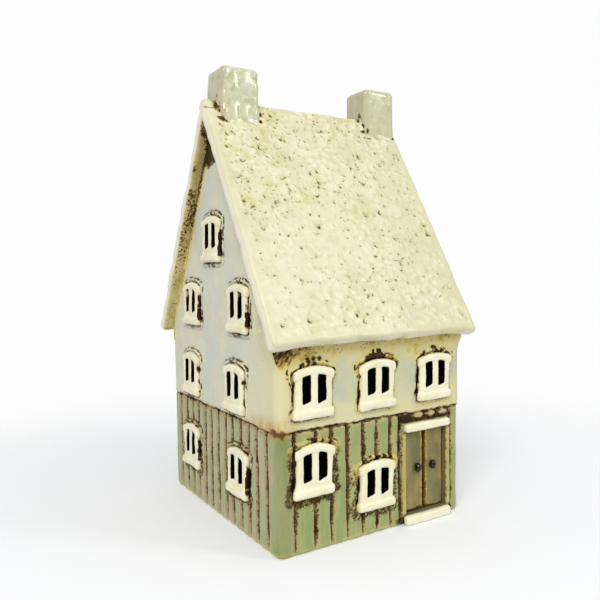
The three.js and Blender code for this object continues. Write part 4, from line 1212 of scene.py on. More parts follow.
def close_roof(points, faces, shown, rear, material):
    """Closes the slab under the fine sheet and on the ridge's mitre."""
    normals = vertex_normals(points, faces)
    ridge_line = np.abs(points[:, 1]) < 1e-9
    normals[ridge_line, 1] = 0.0
    length = np.linalg.norm(normals, axis=1, keepdims=True)
    normals /= np.maximum(length, 1e-9)
    sheet = used_only(points, faces, shown, normals)
    loop = max(boundary_loops(sheet[1]), key=len)
    on_ridge = [abs(sheet[0][i][1]) < 1e-9 for i in loop]
    start = next(i for i in range(len(loop)) if on_ridge[i] and not on_ridge[i - 1])
    loop = loop[start:] + loop[:start]
    count = sum(on_ridge)
    parts = [sheet]
    towards = (np.array([0, -1.0 if rear else 1.0, 0]), np.array([0, 0, -1.0]))
    for run, facing in zip((loop[:count], loop[count - 1:] + loop[:1]), towards):
        face = list(range(len(run)))
        if newell(sheet[0][run]) @ facing < 0:
            face.reverse()
        parts.append((sheet[0][run], [face], {"bare": 1.0}, None))
    name = "rear_roof_slab" if rear else "front_roof_slab"
    return make_piece(name + "_glazed", parts, material, HOUSE, [name])


# Lumps of clay, each shaped by a field that is negative inside

def solid_box(x, y, z, low, high, radius):
    """Distance outside a box with rounded edges."""
    q = [np.abs(c - (a + b) / 2) - ((b - a) / 2 - radius) for c, a, b in zip((x, y, z), low, high)]
    outside = np.sqrt(sum(np.maximum(c, 0) ** 2 for c in q))
    return outside + np.minimum(np.maximum.reduce(q), 0) - radius


def clay_piece(name, node, field, low, high, step, material, look=None):
    """A piece from a field over (x, y, z) in mm of the house; look gives its attributes."""
    start, (x, y, z) = sample_space(low, high, step)
    points, quads = surface_net(field(x, y, z), start, step)
    shown = look(points) if look else {}
    return make_piece(name, [(points, quads, shown, None)], material, HOUSE, [node])


def lumpy(x, y, z, size, amount, seed):
    """Uneven clay: how far a face wanders, by the amount over about the size."""
    return amount * fractal(flat_points(x, y, z), size, seed, 2)


# Depth of a chimney's wrinkles and of the runs down its glaze, and how olive it is
CHIMNEY_GLAZE = {"left_chimney": (0.24, 0.05, 0.15), "right_chimney": (0.03, 0.1, 0.75)}
FLUE_RADIUS = 3.6
FLUE_DEEP = 9
CHIMNEY_EDGE = 2.3
CHIMNEY_FOOT = 130  # height inside the roof that the block goes down to


def chimney(name, seed, material):
    """A wrinkled glazed block on the ridge with a blind flue."""
    low, high = box_mm(name)
    middle, half = (low + high) / 2, (high - low) / 2
    wrinkles, drips, olive = CHIMNEY_GLAZE[name]

    def field(x, y, z):
        flare = 0.4 + 2.5 * wrinkles
        taper = 0.1 + flare * (0.2 * smooth(174, high[2], z) - 0.35 * smooth(171, 163, z))
        ax, ay = x - middle[0], y - middle[1]
        d = solid_box(ax * (1 + taper / half[0]), ay * (1 + taper / half[1]), z,
                      [-half[0], -half[1], CHIMNEY_FOOT], [half[0], half[1], high[2] - 0.1], CHIMNEY_EDGE)
        place = flat_points(x, y, z)
        folds = 1 - 2.2 * np.abs(noise(place, 5.2, seed)) + 0.12 * noise(place, 2.6, seed + 1)
        runs = noise(flat_points(x, y, z / 6), 3.2, seed + 3)
        sides = 1 - 0.6 * smooth(high[2] - 2.5, high[2] - 1, z)
        swell = (0.06 + 0.28 * wrinkles) * noise(place, 7, seed + 2)
        d = d + (swell + wrinkles * (folds - 0.3) + drips * runs) * sides
        flue = np.hypot(ax, ay) - FLUE_RADIUS + 0.3 * noise(place, 3, seed + 4)
        d = smooth_max(d, -smooth_max(flue, (high[2] - FLUE_DEEP) - z, 1.0), 1.1)
        return np.maximum(np.maximum(d, z - high[2] + 0.05), (roof_height(y) - 3 - z) * RUN)

    def look(points):
        over = (points[:, 2] - roof_height(points[:, 1])) * RUN
        left = smooth(low[0] + 3, low[0] + 1.2, points[:, 0])
        dark = smooth(0.3 - 0.4 * left, 0.65 - 0.3 * left, noise(points, 1.6, seed + 5))
        dark = dark * smooth(2.2, 0.6, over) * (0.2 + 0.7 * left)
        # The flue's mouth is darkened inwards: painted shade in the hole.
        flue_shade = smooth(4.2, 3.2, np.hypot(points[:, 0] - middle[0], points[:, 1] - middle[1]))
        flue_shade *= smooth(high[2] - 0.8, high[2] - 2.5, points[:, 2])
        foot = smooth(6, 1.0, over + 2 * noise(points, 4, seed + 6))
        return {"stain": np.maximum(dark, 0.8 * flue_shade), "ochre": 0.12 * foot, "zone": left,
                "worn": olive + 0.35 * foot}

    low = [low[0] - 0.5, low[1] - 0.5, low[2] - 1]
    clay_piece(name + "_glazed", name, field, low, high, CHIMNEY_STEP, material, look)


FRAME_ROUND = 1.5
SLOT_ROUND = 0.9
HEAD_STEP = 0.22  # how far the head stands over the jambs
INTO_WALL = 0.6  # how far a frame goes into the wall's face


def window_frame(node, wall, middle, sill, seed, material):
    """One applied frame, uneven by hand."""
    low, (a, b, w) = sample_space(
        [-WINDOW_WIDTH / 2 - 0.9, -0.3, -0.7],
        [WINDOW_WIDTH / 2 + 0.9, WINDOW_HEIGHT + 0.3, FRAME_PROUD + SILL_STEP + 0.2], FRAME_STEP,
    )
    a, b = a[:, :, 0], b[:, :, 0]
    flat = flat_points(a, b, seed * 3.7)
    warp_a = 0.34 * noise(flat, 6.5, seed) + 0.12 * noise(flat, 2.4, seed + 1)
    warp_b = 0.28 * noise(flat, 7.5, seed + 2) + 0.10 * noise(flat, 2.6, seed + 3)
    fa, fb = a + warp_a - lean_at(b), b + warp_b
    outline = frame_outline(fa, fb) + 0.12
    cuts = slots(a + 0.6 * warp_a, b + 0.4 * warp_b - slot_slant(a, b))
    is_sill = smooth(SILL_HEIGHT + 0.6, SILL_HEIGHT - 0.7, fb)
    is_head = smooth(-HEAD - 0.4, -HEAD + 0.5, camber(fa, fb))
    top = FRAME_PROUD - 0.25 + SILL_STEP * is_sill + HEAD_STEP * is_head
    top = top + 0.15 * noise(flat, 4.0, seed + 4) + 0.06 * noise(flat, 1.6, seed + 5)
    body = smooth_max(outline[:, :, None], w - top[:, :, None], FRAME_ROUND)
    body = smooth_max(body, -cuts[:, :, None], SLOT_ROUND)
    body = np.maximum(body, -INTO_WALL - w)
    points, quads = surface_net(body, low, FRAME_STEP)
    placed = from_face(wall, points[:, 0] + middle, points[:, 1] + sill, points[:, 2])
    flank = WINDOW_SOOT.get(node, PLAIN_SOOT)[2] if wall.endswith("gable") else 0.0
    shown = frame_look(points, seed, dark_stretch(points[:, 1], middle, sill, flank))
    make_piece(node + "_glazed", [(placed, quads, shown, None)], material, HOUSE, [node])


def frame_look(points, seed, dark):
    """Glaze of a frame: brown creeps in at its foot, and the insides of its slots are painted near-black as
    shade.
    """
    a, b, w = points.T
    a = a - lean_at(b)
    place = flat_points(a, b, seed * 5.0)
    outside = frame_outline(a, b) > -0.7
    back = smooth(0.7, 0.05, w + 0.3 * noise(place, 1.4, seed + 8)) * outside
    flank = smooth(1.5, 0.9, w + 0.55 * noise(place, 1.4, seed + 4)) * outside * (a > 4) * dark
    # The insides of the slots are marked for near-black painted shade.
    slot_shade = smooth(0.45, 0.2, slots(a, b)) * smooth(1.45, 1.0, w + 0.08 * noise(place, 2.0, seed + 7))
    tint = 0.25 * smooth(0.1, 0.7, noise(place, 3.0, seed + 9))
    behind = 0.8 * back * smooth(-0.5, 0.3, noise(place, 2.2, seed + 6))
    return {
        "stain": most(behind, flank, slot_shade),
        "ochre": np.maximum(tint, 0.4 * smooth(1.2, 0.3, w) * outside),
        "bare": slot_shade,
    }


BAR_INSET = 0.15  # room inside the CAD bar for the faces to wander in


def bar_piece(node, ease, amount, size, seed, step, material, back=0.5, look=None):
    """A soft-edged bar of clay in the place of a CAD bar on the front wall.

    Its edges have the radius ease, its faces wander by the amount over about the size, and it
    goes back into the wall by back.
    """
    low, high = box_mm(node)

    def field(x, y, z):
        inner_low = [low[0] + BAR_INSET, low[1] + BAR_INSET, low[2] + (0.02 if low[2] < 1 else 0.1)]
        inner_high = [high[0] - BAR_INSET, high[1] + back, high[2] - 0.1]
        d = solid_box(x, y, z, inner_low, inner_high, ease)
        return d + lumpy(x, y, z, size, amount, seed)

    def stain(points):
        near_wall = smooth(-1.1, -0.2, points[:, 1] - high[1])
        ragged = smooth(-0.4, 0.4, noise(points, 1.3, seed + 7))
        return {"stain": 0.5 * near_wall * ragged, "ochre": 0.4 * near_wall}

    top = [high[0], high[1] + back, high[2]]
    clay_piece(node + "_glazed", node, field, low, top, step, material, look or stain)


KNOB_NARROW, KNOB_TALL = 0.82, 1.2  # shares of the radius, across and up


def knob(node, seed, material):
    """A glossy ball of clay, pressed on a little taller than it is wide."""
    low, high = box_mm(node)
    centre = (low + high) / 2
    radius = (high[0] - low[0]) / 2
    middle_y = low[1] + radius

    def field(x, y, z):
        rx, rz = (x - centre[0]) / KNOB_NARROW, (z - centre[2]) / KNOB_TALL
        d = np.sqrt(rx**2 + (y - middle_y) ** 2 + rz**2) - radius + 0.08
        return np.maximum(d + lumpy(x, y, z, 1.6, 0.07, seed), y - high[1] - 0.2)

    top = [high[0], high[1] + 0.2, high[2] + 0.4]
    clay_piece(node + "_glazed", node, field, low - [0, 0, 0.4], top, KNOB_STEP, material)


FILLET_STEP = 0.4
FILLET_ROWS = 22
FILLET_DOWN = 0.8  # how far the strip reaches down the wall under the CAD fillet
FILLET_CURVE = 3.2  # how late the strip turns out under the eave


def eave_fillet(wall, material):
    """The clay pressed in under an eave, as a lumpy concave strip."""
    name = wall + "_eave_fillet"
    low, high = box_mm(name)
    us = ruled(low[0] - 0.3, high[0] + 0.3, FILLET_STEP, [])
    steps = np.linspace(0, 1, FILLET_ROWS)
    u, s = (g.ravel() for g in np.meshgrid(us, steps, indexing="ij"))
    up = low[2] - FILLET_DOWN + (high[2] - low[2] + FILLET_DOWN) * s
    out = -0.25 + (high[1] - low[1] + 0.15) * s**FILLET_CURVE
    base = from_face(wall, u, up, out)
    strokes = fractal(flat_points(u + 0.9 * up, up * 0.4, 0), 1.5, 41)
    scored = 0.16 * strokes * smooth(0.1, 0.5, s)
    height = 0.22 * noise(base, 3.5, 91) + scored + 0.05 * noise(base, 1.1, 92)
    height *= smooth(1.0, 0.85, s) * 0.8 + 0.2
    points = from_face(wall, u, up, out + height)
    dark, speck, wash = eave_stain(u, up, base)
    _, window_stain, window_speck, ochre = window_relief(wall, u, up, base)
    share = 1.0 if wall == "front" else 0.4
    shown = {
        "stain": np.maximum(dark * share, window_stain),
        "speck": np.maximum(speck * share, window_speck),
        "ochre": most(wash, ochre, 0.6),
        "zone": 1.0,
    }
    faces = grid_faces(np.ones((len(us) - 1, len(steps) - 1), bool))[:, ::-1]
    make_piece(name + "_glazed", [(points, faces, shown, None)], material, HOUSE, [name])


def floor_slab(material):
    """The slab that the candle stands on, rolled flat by hand."""
    low, high = box_mm("floor_slab")

    def field(x, y, z):
        d = solid_box(x, y, z, low + [0.1, 0.1, 0.05], high - [0.1, 0.1, 0.3], 0.5)
        return d + 0.2 * noise(flat_points(x, y, z), 9, 620) * smooth(low[2], high[2], z)

    clay_piece("floor_slab_bare", "floor_slab", field, low, high, FLOOR_SLAB_STEP, material)


# Tealight

def lathe(name, node, profile, material, ripple=None):
    """A turned piece of the tealight from (radius, height) pairs, closed flat at both ends."""
    low, high = box_mm("tealight_cup")
    turns = np.arange(TURNED_SEGMENTS)[:, None] * math.tau / TURNED_SEGMENTS
    radius, z = (np.tile(column, (TURNED_SEGMENTS, 1)) for column in np.array(profile).T)
    if ripple is not None:
        radius = radius + ripple(turns, z)
    middle = (low + high) / 2
    points = flat_points(middle[0] + radius * np.cos(turns), middle[1] + radius * np.sin(turns), z)
    rings = np.arange(points[..., 0].size).reshape(radius.shape)
    closed = np.concatenate([rings, rings[:1]])
    quads = np.stack([closed[:-1, :-1], closed[1:, :-1], closed[1:, 1:], closed[:-1, 1:]], -1)
    faces = quads.reshape(-1, 4).tolist() + [rings[::-1, 0].tolist(), rings[:, -1].tolist()]
    make_piece(name, [(points.reshape(-1, 3), faces, {}, None)], material, TEALIGHT, [node])


def rounded(profile, rounds=2):
    """The same profile with its corners cut again and again, as a smooth line."""
    for _ in range(rounds):
        cut = [profile[0]]
        for (r0, z0), (r1, z1) in zip(profile, profile[1:]):
            cut.append((0.75 * r0 + 0.25 * r1, 0.75 * z0 + 0.25 * z1))
            cut.append((0.25 * r0 + 0.75 * r1, 0.25 * z0 + 0.75 * z1))
        profile = cut + [profile[-1]]
    return profile


FLUTES = 54
FLUTE_DEPTH = 0.10
WICK_RINGS = 40


def tealight():
    """A pressed cup with a rolled rim, its dished wax and its twisted wick."""
    low, high = box_mm("tealight_cup")
    rim, floor = (high[0] - low[0]) / 2, box_mm("tealight_wax")[0][2]
    wall = box_mm("tealight_wax")[1][0] - (low[0] + high[0]) / 2 + 0.1
    wax_top = box_mm("tealight_wax")[1][2]

    def flutes(turns, z):
        shown = smooth(low[2] + 1.5, low[2] + 3, z) * smooth(high[2] - 1, high[2] - 3, z)
        return FLUTE_DEPTH * np.cos(FLUTES * turns) * shown

    cup = [(0.4, low[2] + 0.5), (11.5, low[2] + 0.5), (12.6, low[2] + 0.05), (wall - 1.2, low[2] + 0.05),
           (wall + 0.3, low[2] + 1.0), (wall + 0.4, high[2] - 1.9), (rim - 0.15, high[2] - 1.3),
           (rim - 0.05, high[2] - 0.2), (wall + 0.3, high[2] - 0.02), (wall, high[2] - 0.8),
           (wall, floor + 0.7), (wall - 0.7, floor), (0.4, floor)]
    lathe("tealight_cup_pressed", "tealight_cup", rounded(cup), TIN_LOOK, flutes)
    edge = wall - 0.15
    wax = [(0.4, floor + 0.05), (edge - 0.8, floor + 0.05), (edge, floor + 0.9), (edge, wax_top - 0.5),
           (edge - 0.25, wax_top - 0.05), (edge - 1.2, wax_top - 0.35), (10, wax_top - 0.7),
           (3.2, wax_top - 0.75), (1.3, wax_top - 0.3), (0.4, wax_top - 0.25)]
    lathe("tealight_wax_dished", "tealight_wax", rounded(wax), WAX_LOOK,
          lambda turns, z: 0.05 * np.sin(3 * turns + z) * smooth(wax_top - 2, wax_top, z))
    wick_low, wick_high = box_mm("tealight_wick")
    thick = (wick_high[0] - wick_low[0]) / 2 - 0.12
    heights = np.linspace(wick_low[2] + 0.02, wick_high[2] - 0.35, WICK_RINGS)
    shares = np.linspace(0, 1, WICK_RINGS)
    wick = [(thick * (1 - 0.25 * smooth(0.8, 1.0, k)), z) for k, z in zip(shares, heights)]
    wick += [(0.5 * thick, wick_high[2] - 0.1), (0.12 * thick, wick_high[2] - 0.03)]
    lathe("tealight_wick_twisted", "tealight_wick", wick, WICK_LOOK,
          lambda turns, z: 0.09 * np.cos(3 * turns + 2.4 * z) * smooth(wick_high[2], wick_high[2] - 0.6, z))


# Materials

SLOT_SHADE = "#040303"  # painted shade: the near-black inside of the slots


def linear(code):
    """A colour written as in a picture, turned to Blender's linear values."""
    parts = [int(code[i:i + 2], 16) / 255 for i in (1, 3, 5)]
    return tuple(c / 12.92 if c <= 0.04045 else ((c + 0.055) / 1.055) ** 2.4 for c in parts) + (1.0,)


class Nodes:
    """Short calls for building one material's nodes."""

    def __init__(self, name):
        self.material = bpy.data.materials.new(name)
        self.material.use_nodes = True
        self.tree = self.material.node_tree
        self.shader = self.tree.nodes["Principled BSDF"]
        self.place = self.tree.nodes.new("ShaderNodeTexCoord").outputs["Object"]

    def put(self, socket, value):
        """Sets a socket from another one, a number or a colour's code."""
        if isinstance(value, str):
            value = linear(value)
        if isinstance(value, bpy.types.NodeSocket):
            self.tree.links.new(value, socket)
        else:
            socket.default_value = value

    def noise(self, size, detail=3.0, seed=0.0, stretch=None, turn=0.0):
        """Noise with features about size mm across, stretched along axes that are turned about Y."""
        node = self.tree.nodes.new("ShaderNodeTexNoise")
        node.noise_dimensions = "4D"
        place = self.place
        if stretch:
            mapping = self.tree.nodes.new("ShaderNodeMapping")
            mapping.vector_type = "TEXTURE"
            mapping.inputs["Rotation"].default_value = (0, turn, 0)
            mapping.inputs["Scale"].default_value = stretch
            self.put(mapping.inputs["Vector"], place)
            place = mapping.outputs["Vector"]
        self.put(node.inputs["Vector"], place)
        node.inputs["W"].default_value = seed
        node.inputs["Scale"].default_value = 1 / (size * MM)
        node.inputs["Detail"].default_value = detail
        return node.outputs["Fac"]

    def cells(self, size, seed=0.0):
        """Distance from the nearest of scattered points about size mm apart."""
        node = self.tree.nodes.new("ShaderNodeTexVoronoi")
        node.voronoi_dimensions = "4D"
        self.put(node.inputs["Vector"], self.place)
        node.inputs["W"].default_value = seed
        node.inputs["Scale"].default_value = 1 / (size * MM)
        return node.outputs["Distance"]

    def attribute(self, name):
        """What the mesh's own attribute holds."""
        node = self.tree.nodes.new("ShaderNodeAttribute")
        node.attribute_name = name
        return node.outputs["Fac"]

    def math(self, operation, a, b=0.0):
        """One of Blender's own operations on two values."""
        node = self.tree.nodes.new("ShaderNodeMath")
        node.operation = operation
        self.put(node.inputs[0], a)
        self.put(node.inputs[1], b)
        return node.outputs["Value"]

    def times(self, a, b):
        """The product of two values."""
        return self.math("MULTIPLY", a, b)

    def span(self, value, start, end, low=0.0, high=1.0):
        """The value, read smoothly from start to end as low to high."""
        node = self.tree.nodes.new("ShaderNodeMapRange")
        node.interpolation_type = "SMOOTHSTEP"
        self.put(node.inputs["Value"], value)
        for key, number in (("From Min", start), ("From Max", end), ("To Min", low), ("To Max", high)):
            node.inputs[key].default_value = number
        return node.outputs["Result"]

    def mix(self, share, a, b):
        """Colour a, turned to b by the share."""
        node = self.tree.nodes.new("ShaderNodeMix")
        node.data_type = "RGBA"
        self.put(node.inputs["Factor"], share)
        self.put(node.inputs["A"], a)
        self.put(node.inputs["B"], b)
        return node.outputs["Result"]

    def bump(self, height, distance, strength=1.0, normal=None):
        """The normal over a height whose full step is distance mm."""
        node = self.tree.nodes.new("ShaderNodeBump")
        node.inputs["Distance"].default_value = distance * MM
        node.inputs["Strength"].default_value = strength
        self.put(node.inputs["Height"], height)
        if normal is not None:
            self.put(node.inputs["Normal"], normal)
        return node.outputs["Normal"]

    def finish(self, color, roughness, normal=None, **fixed):
        """Fills the shader; fixed holds other inputs by name, with _ for each space."""
        self.put(self.shader.inputs["Base Color"], color)
        self.put(self.shader.inputs["Roughness"], roughness)
        if normal is not None:
            self.put(self.shader.inputs["Normal"], normal)
        for key, value in fixed.items():
            self.shader.inputs[key.replace("_", " ")].default_value = value
        return self.material


def stained(n, base, warm=("#E6D47A", "#A98528"), brown="#64400F", dark=("#120A03", "#352008")):
    """Lays yellow-brown, rust and dark oxide over a glaze, by the mesh's own attributes."""
    ochre = n.times(n.attribute("ochre"), n.span(n.noise(2.2, 4, 3), 0.25, 0.75, 0.6, 1.25))
    tint = n.mix(n.span(ochre, 0.4, 1.2), warm[0], warm[1])
    color = n.mix(n.span(ochre, 0.0, 0.8, 0.0, 0.92), base, tint)
    rust = n.mix(n.noise(2.5, 3, 18), "#D6A252", "#9C6620")
    color = n.mix(n.times(n.attribute("rust"), 0.8), color, rust)
    fine = n.noise(0.8, 5, 21, stretch=(1, 1, 1.5), turn=math.radians(45))
    specks = n.math("ADD", fine, n.times(n.attribute("speck"), 0.55))
    ragged = n.math("ADD", n.attribute("stain"), n.span(n.noise(0.8, 3, 5), 0.2, 0.8, -0.2, 0.2))
    ragged = n.math("MAXIMUM", ragged, n.span(specks, 0.82, 1.0, 0.0, 0.7))
    color = n.mix(n.span(ragged, 0.18, 0.5, 0.0, 0.8), color, brown)
    oxide = n.mix(n.noise(1.6, 3, 9), dark[0], dark[1])
    oxide = n.mix(n.span(n.attribute("rust"), 0.0, 0.4), oxide, "#4A2B0E")
    return n.mix(n.span(ragged, 0.42, 0.8, 0.0, 1.0), color, oxide)


def glaze_surface(n, color, rough=(0.12, 0.30), pebble=0.03, soft=0.10, **fixed):
    """A shiny glaze with a fine pebbling and a soft swell, whose heights are in mm."""
    roughness = n.span(n.noise(4, 3, 12), 0.3, 0.7, rough[0], rough[1])
    fine = n.bump(n.noise(0.55, 2, 14), pebble, 0.6)
    normal = n.bump(n.noise(2.4, 2, 15), soft, 0.8, fine)
    fixed = {"Specular_IOR_Level": 0.25, "Specular_Tint": linear("#FFEFD2"), **fixed}
    return n.finish(color, roughness, normal, **fixed)


def wall_material():
    """Blue-grey and cream glaze over the storey line, lighter on the gables partly as painted light, green
    or worn planks under it, and near-black painted shade in the slots.
    """
    n = Nodes("wall_glaze")
    drift = n.noise(15, 3, 1)
    # Over the storey line the gables' glaze is lighter than the front's, partly as painted light.
    front = n.mix(n.span(drift, 0.38, 0.62), "#B7C1AE", "#CCCDA6")
    side = n.mix(n.span(drift, 0.35, 0.65), "#D9DDD8", "#E5E0CE")
    upper = n.mix(n.attribute("worn"), front, side)
    upper = n.mix(n.span(n.noise(9, 4, 2), 0.45, 0.75, 0, 0.5), upper, "#D6D0AE")
    streak = n.noise(3.2, 3, 4, stretch=(1, 1, 5.5))
    green = n.mix(n.span(streak, 0.35, 0.7), "#8BA15F", "#A7AE78")
    worn = n.mix(n.span(streak, 0.35, 0.7), "#B5B696", "#BEAE93")
    share = n.times(n.attribute("worn"), n.span(n.noise(9, 3, 6), 0.3, 0.6, 0.45, 1))
    lower = n.mix(share, green, worn)
    edges = n.mix(n.attribute("worn"), "#BDAE7C", "#A28360")
    color = n.mix(n.attribute("zone"), lower, upper)
    pale = n.times(n.attribute("pale"), n.span(n.noise(3.0, 2, 7), 0.25, 0.5, 0.6, 1))
    color = n.mix(pale, color, n.mix(n.attribute("zone"), edges, "#E1DAB1"))
    specks = n.times(n.span(n.cells(2.4, 1), 0.12, 0.06), n.span(n.noise(8, 2, 10), 0.5, 0.6))
    color = stained(n, n.mix(n.times(specks, 0.7), color, "#4A3A22"))
    bare = n.mix(n.noise(2, 4, 11), "#5A4632", "#7C6650")
    color = n.mix(n.attribute("bare"), color, bare)
    # Where bare clay is also stained, inside the slots, the glaze turns to near-black painted shade.
    slot_shade = n.times(n.attribute("bare"), n.attribute("stain"))
    return glaze_surface(n, n.mix(slot_shade, color, SLOT_SHADE))


def roof_material():
    """Thick cream glaze, paler on its lumps as painted highlight and olive in its creases, partly as
    painted shade.
    """
    n = Nodes("roof_glaze")
    cream = n.mix(n.span(n.noise(14, 3, 1), 0.35, 0.65), "#E8E4C4", "#DFDAB6")
    cream = n.mix(n.span(n.noise(4, 4, 2), 0.45, 0.75, 0, 0.45), cream, "#D6D6B2")
    cream = n.mix(n.times(n.attribute("worn"), 0.45), cream, "#D2D0A6")
    # Paler lump tops: painted highlight.
    color = n.mix(n.attribute("pale"), cream, "#F0ECD2")
    color = n.mix(n.attribute("zone"), color, n.mix(n.noise(8, 3, 4), "#EFE9DB", "#F2EBD8"))
    color = stained(n, color, ("#D0CA8A", "#A0943F"), "#75682A", ("#30290F", "#625626"))
    return glaze_surface(n, n.mix(n.attribute("bare"), color, "#6C5841"), (0.18, 0.36), 0.05)


def chimney_material():
    """A pale green glaze under a wet-looking coat, with streaks down its left side and soft pale streaks
    that are partly painted reflection.
    """
    n = Nodes("chimney_glaze")
    base = n.mix(n.span(n.noise(5, 3, 1), 0.35, 0.7), "#CFD3B4", "#DCDCC8")
    base = n.mix(n.span(n.noise(3.4, 3, 2), 0.48, 0.66, 0, 0.7), base, "#ADB48A")
    # Soft pale diagonal streaks: lighter glaze, and partly painted reflection of the lamps.
    base = n.mix(n.span(n.noise(2.6, 2, 5, (1, 1, 2.4), 0.6), 0.54, 0.66, 0, 0.6), base, "#EDEEDF")
    streaks = n.span(n.noise(2.4, 3, 4, (1, 1, 3.5)), 0.35, 0.65)
    base = n.mix(n.attribute("zone"), base, n.mix(streaks, "#D8CEBC", "#B9B395"))
    base = n.mix(n.times(n.attribute("worn"), 0.6), base, "#C0C08F")
    return glaze_surface(
        n, stained(n, base), (0.08, 0.16), 0.001, 0.004, Coat_Weight=0.9, Coat_Roughness=0.17,
    )


def plain_glaze(name, first, second, size, rough, stretch=None, detail=4, pebble=0.03, **fixed):
    """A glaze that drifts between two colours, with near-black painted shade where a mesh is marked as
    bare, inside the slots.
    """
    n = Nodes(name)
    base = n.mix(n.span(n.noise(size, detail, 1, stretch), 0.35, 0.7), first, second)
    color = n.mix(n.attribute("bare"), stained(n, base), SLOT_SHADE)
    return glaze_surface(n, color, rough, pebble, **fixed)


def unglazed(name, colors, shade, gloss, rough, grain, depth, **fixed):
    """A material whose colour, roughness and bumps of a depth in mm each follow their own noise."""
    n = Nodes(name)
    color = n.mix(n.noise(*shade), *colors)
    roughness = n.span(n.noise(*gloss), 0.3, 0.7, *rough)
    return n.finish(color, roughness, n.bump(n.noise(*grain), depth), **fixed)


WALL_LOOK = wall_material()
ROOF_LOOK = roof_material()
CREAM_LOOK = plain_glaze("frame_glaze", "#F8F3DA", "#F0EAC9", 7, (0.12, 0.26), detail=3, pebble=0.02)
CHIMNEY_LOOK = chimney_material()
CLAY_LOOK = unglazed(
    "bare_clay", ("#BFA88A", "#D6C4A6"), (3, 5, 1), (2, 3, 2), (0.7, 0.9), (0.7, 4, 3), 0.08,
)
LEAF_LOOK = plain_glaze("door_leaf_glaze", "#73714F", "#9D8B57", 4.5, (0.2, 0.38), (1, 1, 2.5))
JAMB_LOOK = plain_glaze("door_jamb_glaze", "#A9A563", "#BDB880", 4.0, (0.18, 0.34), (1, 1, 3.3))
KNOB_LOOK = plain_glaze(
    "knob_glaze", "#050403", "#0F0B08", 2.0, (0.03, 0.08), Coat_Weight=0.8, Coat_Roughness=0.03,
)
TIN_LOOK = unglazed(
    "cup_metal", ("#D2D4D6", "#BEC1C4"), (6, 3, 1), (3, 3, 3), (0.18, 0.34), (0.8, 2, 2, (1, 1, 10)), 0.02,
    Metallic=1.0,
)
WAX_LOOK = unglazed(
    "wax", ("#F6F3E8", "#EFEADB"), (7, 3, 1), (4, 3, 2), (0.3, 0.5), (3, 3, 3), 0.05,
    Subsurface_Weight=0.25, Subsurface_Scale=0.003,
)
WICK_LOOK = unglazed(
    "wick_cotton", ("#E8E0CC", "#CFC4A8"), (0.5, 2, 1, (1, 1, 2.5)), (1, 2, 2), (0.8, 0.95),
    (0.4, 2, 3), 0.1,
)


# Building

HALF_GAP = 0.4  # half of the gap between the door leaves


def leaf_look(side):
    """Brown along the gap between the leaves, at their foot and at their outer edges."""
    def look(points):
        x, _, z = points.T
        inner = DOOR_X + side * HALF_GAP
        near_gap = smooth(1.7, 0.2, np.abs(x - inner) + 0.35 * noise(points, 2.5, 301))
        foot = smooth(2.2, 0.4, z - STEP_TOP + 0.8 * noise(points, 2, 302))
        far = smooth(1.6, 0.3, DOOR_HALF - np.abs(x - DOOR_X) + 0.5 * noise(points, 3, 303))
        stain = most(0.55 * near_gap, 0.8 * foot, (0.75 if side > 0 else 0.2) * far)
        return {"stain": stain, "ochre": most(near_gap, 0.5 * foot, 0.7 * far)}
    return look


FIRST_WINDOW_SEED, WALL_SEED_STEP, WINDOW_SEED_STEP = 400, 200, 20

for wall_number, wall_name in enumerate(WALLS):
    wall_seed = FIRST_WINDOW_SEED + WALL_SEED_STEP * wall_number
    make_wall(wall_name, REAR_STEP if wall_name == "rear" else WALL_STEP, WALL_LOOK)
    for number, (window, window_x, window_sill) in enumerate(windows_of(wall_name)):
        window_seed = wall_seed + WINDOW_SEED_STEP * number
        window_frame(window, wall_name, window_x, window_sill, window_seed, CREAM_LOOK)
for is_rear in (False, True):
    roof_slab(is_rear, ROOF_LOOK)
for wall_name in ("front", "rear"):
    eave_fillet(wall_name, WALL_LOOK)
for chimney_name, seed in (("left_chimney", 500), ("right_chimney", 520)):
    chimney(chimney_name, seed, CHIMNEY_LOOK)
bar_piece("door_lintel", 1.1, 0.22, 5, 540, 0.28, CREAM_LOOK)
bar_piece("door_step", 1.2, 0.2, 5, 550, 0.28, CREAM_LOOK)
for side, seed in (("left", 560), ("right", 570)):
    bar_piece(side + "_door_jamb", 0.55, 0.16, 4, seed, 0.25, JAMB_LOOK)
for side, seed, way in (("left", 580, -1), ("right", 590, 1)):
    bar_piece(
        side + "_door_leaf", 0.5, 0.12, 6, seed, 0.3, LEAF_LOOK, 0.1, leaf_look(way),
    )
for side, seed in (("left", 600), ("right", 610)):
    knob(side + "_door_knob", seed, KNOB_LOOK)
floor_slab(CLAY_LOOK)
tealight()
tab_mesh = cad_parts["tealight_wick_tab"].data
tab_mesh.materials.clear()
tab_mesh.materials.append(TIN_LOOK)


# Floor, light and camera

FLOOR_DOWN = 0.00002  # just under the house, in metres
FLOOR_GLOW = 0.11


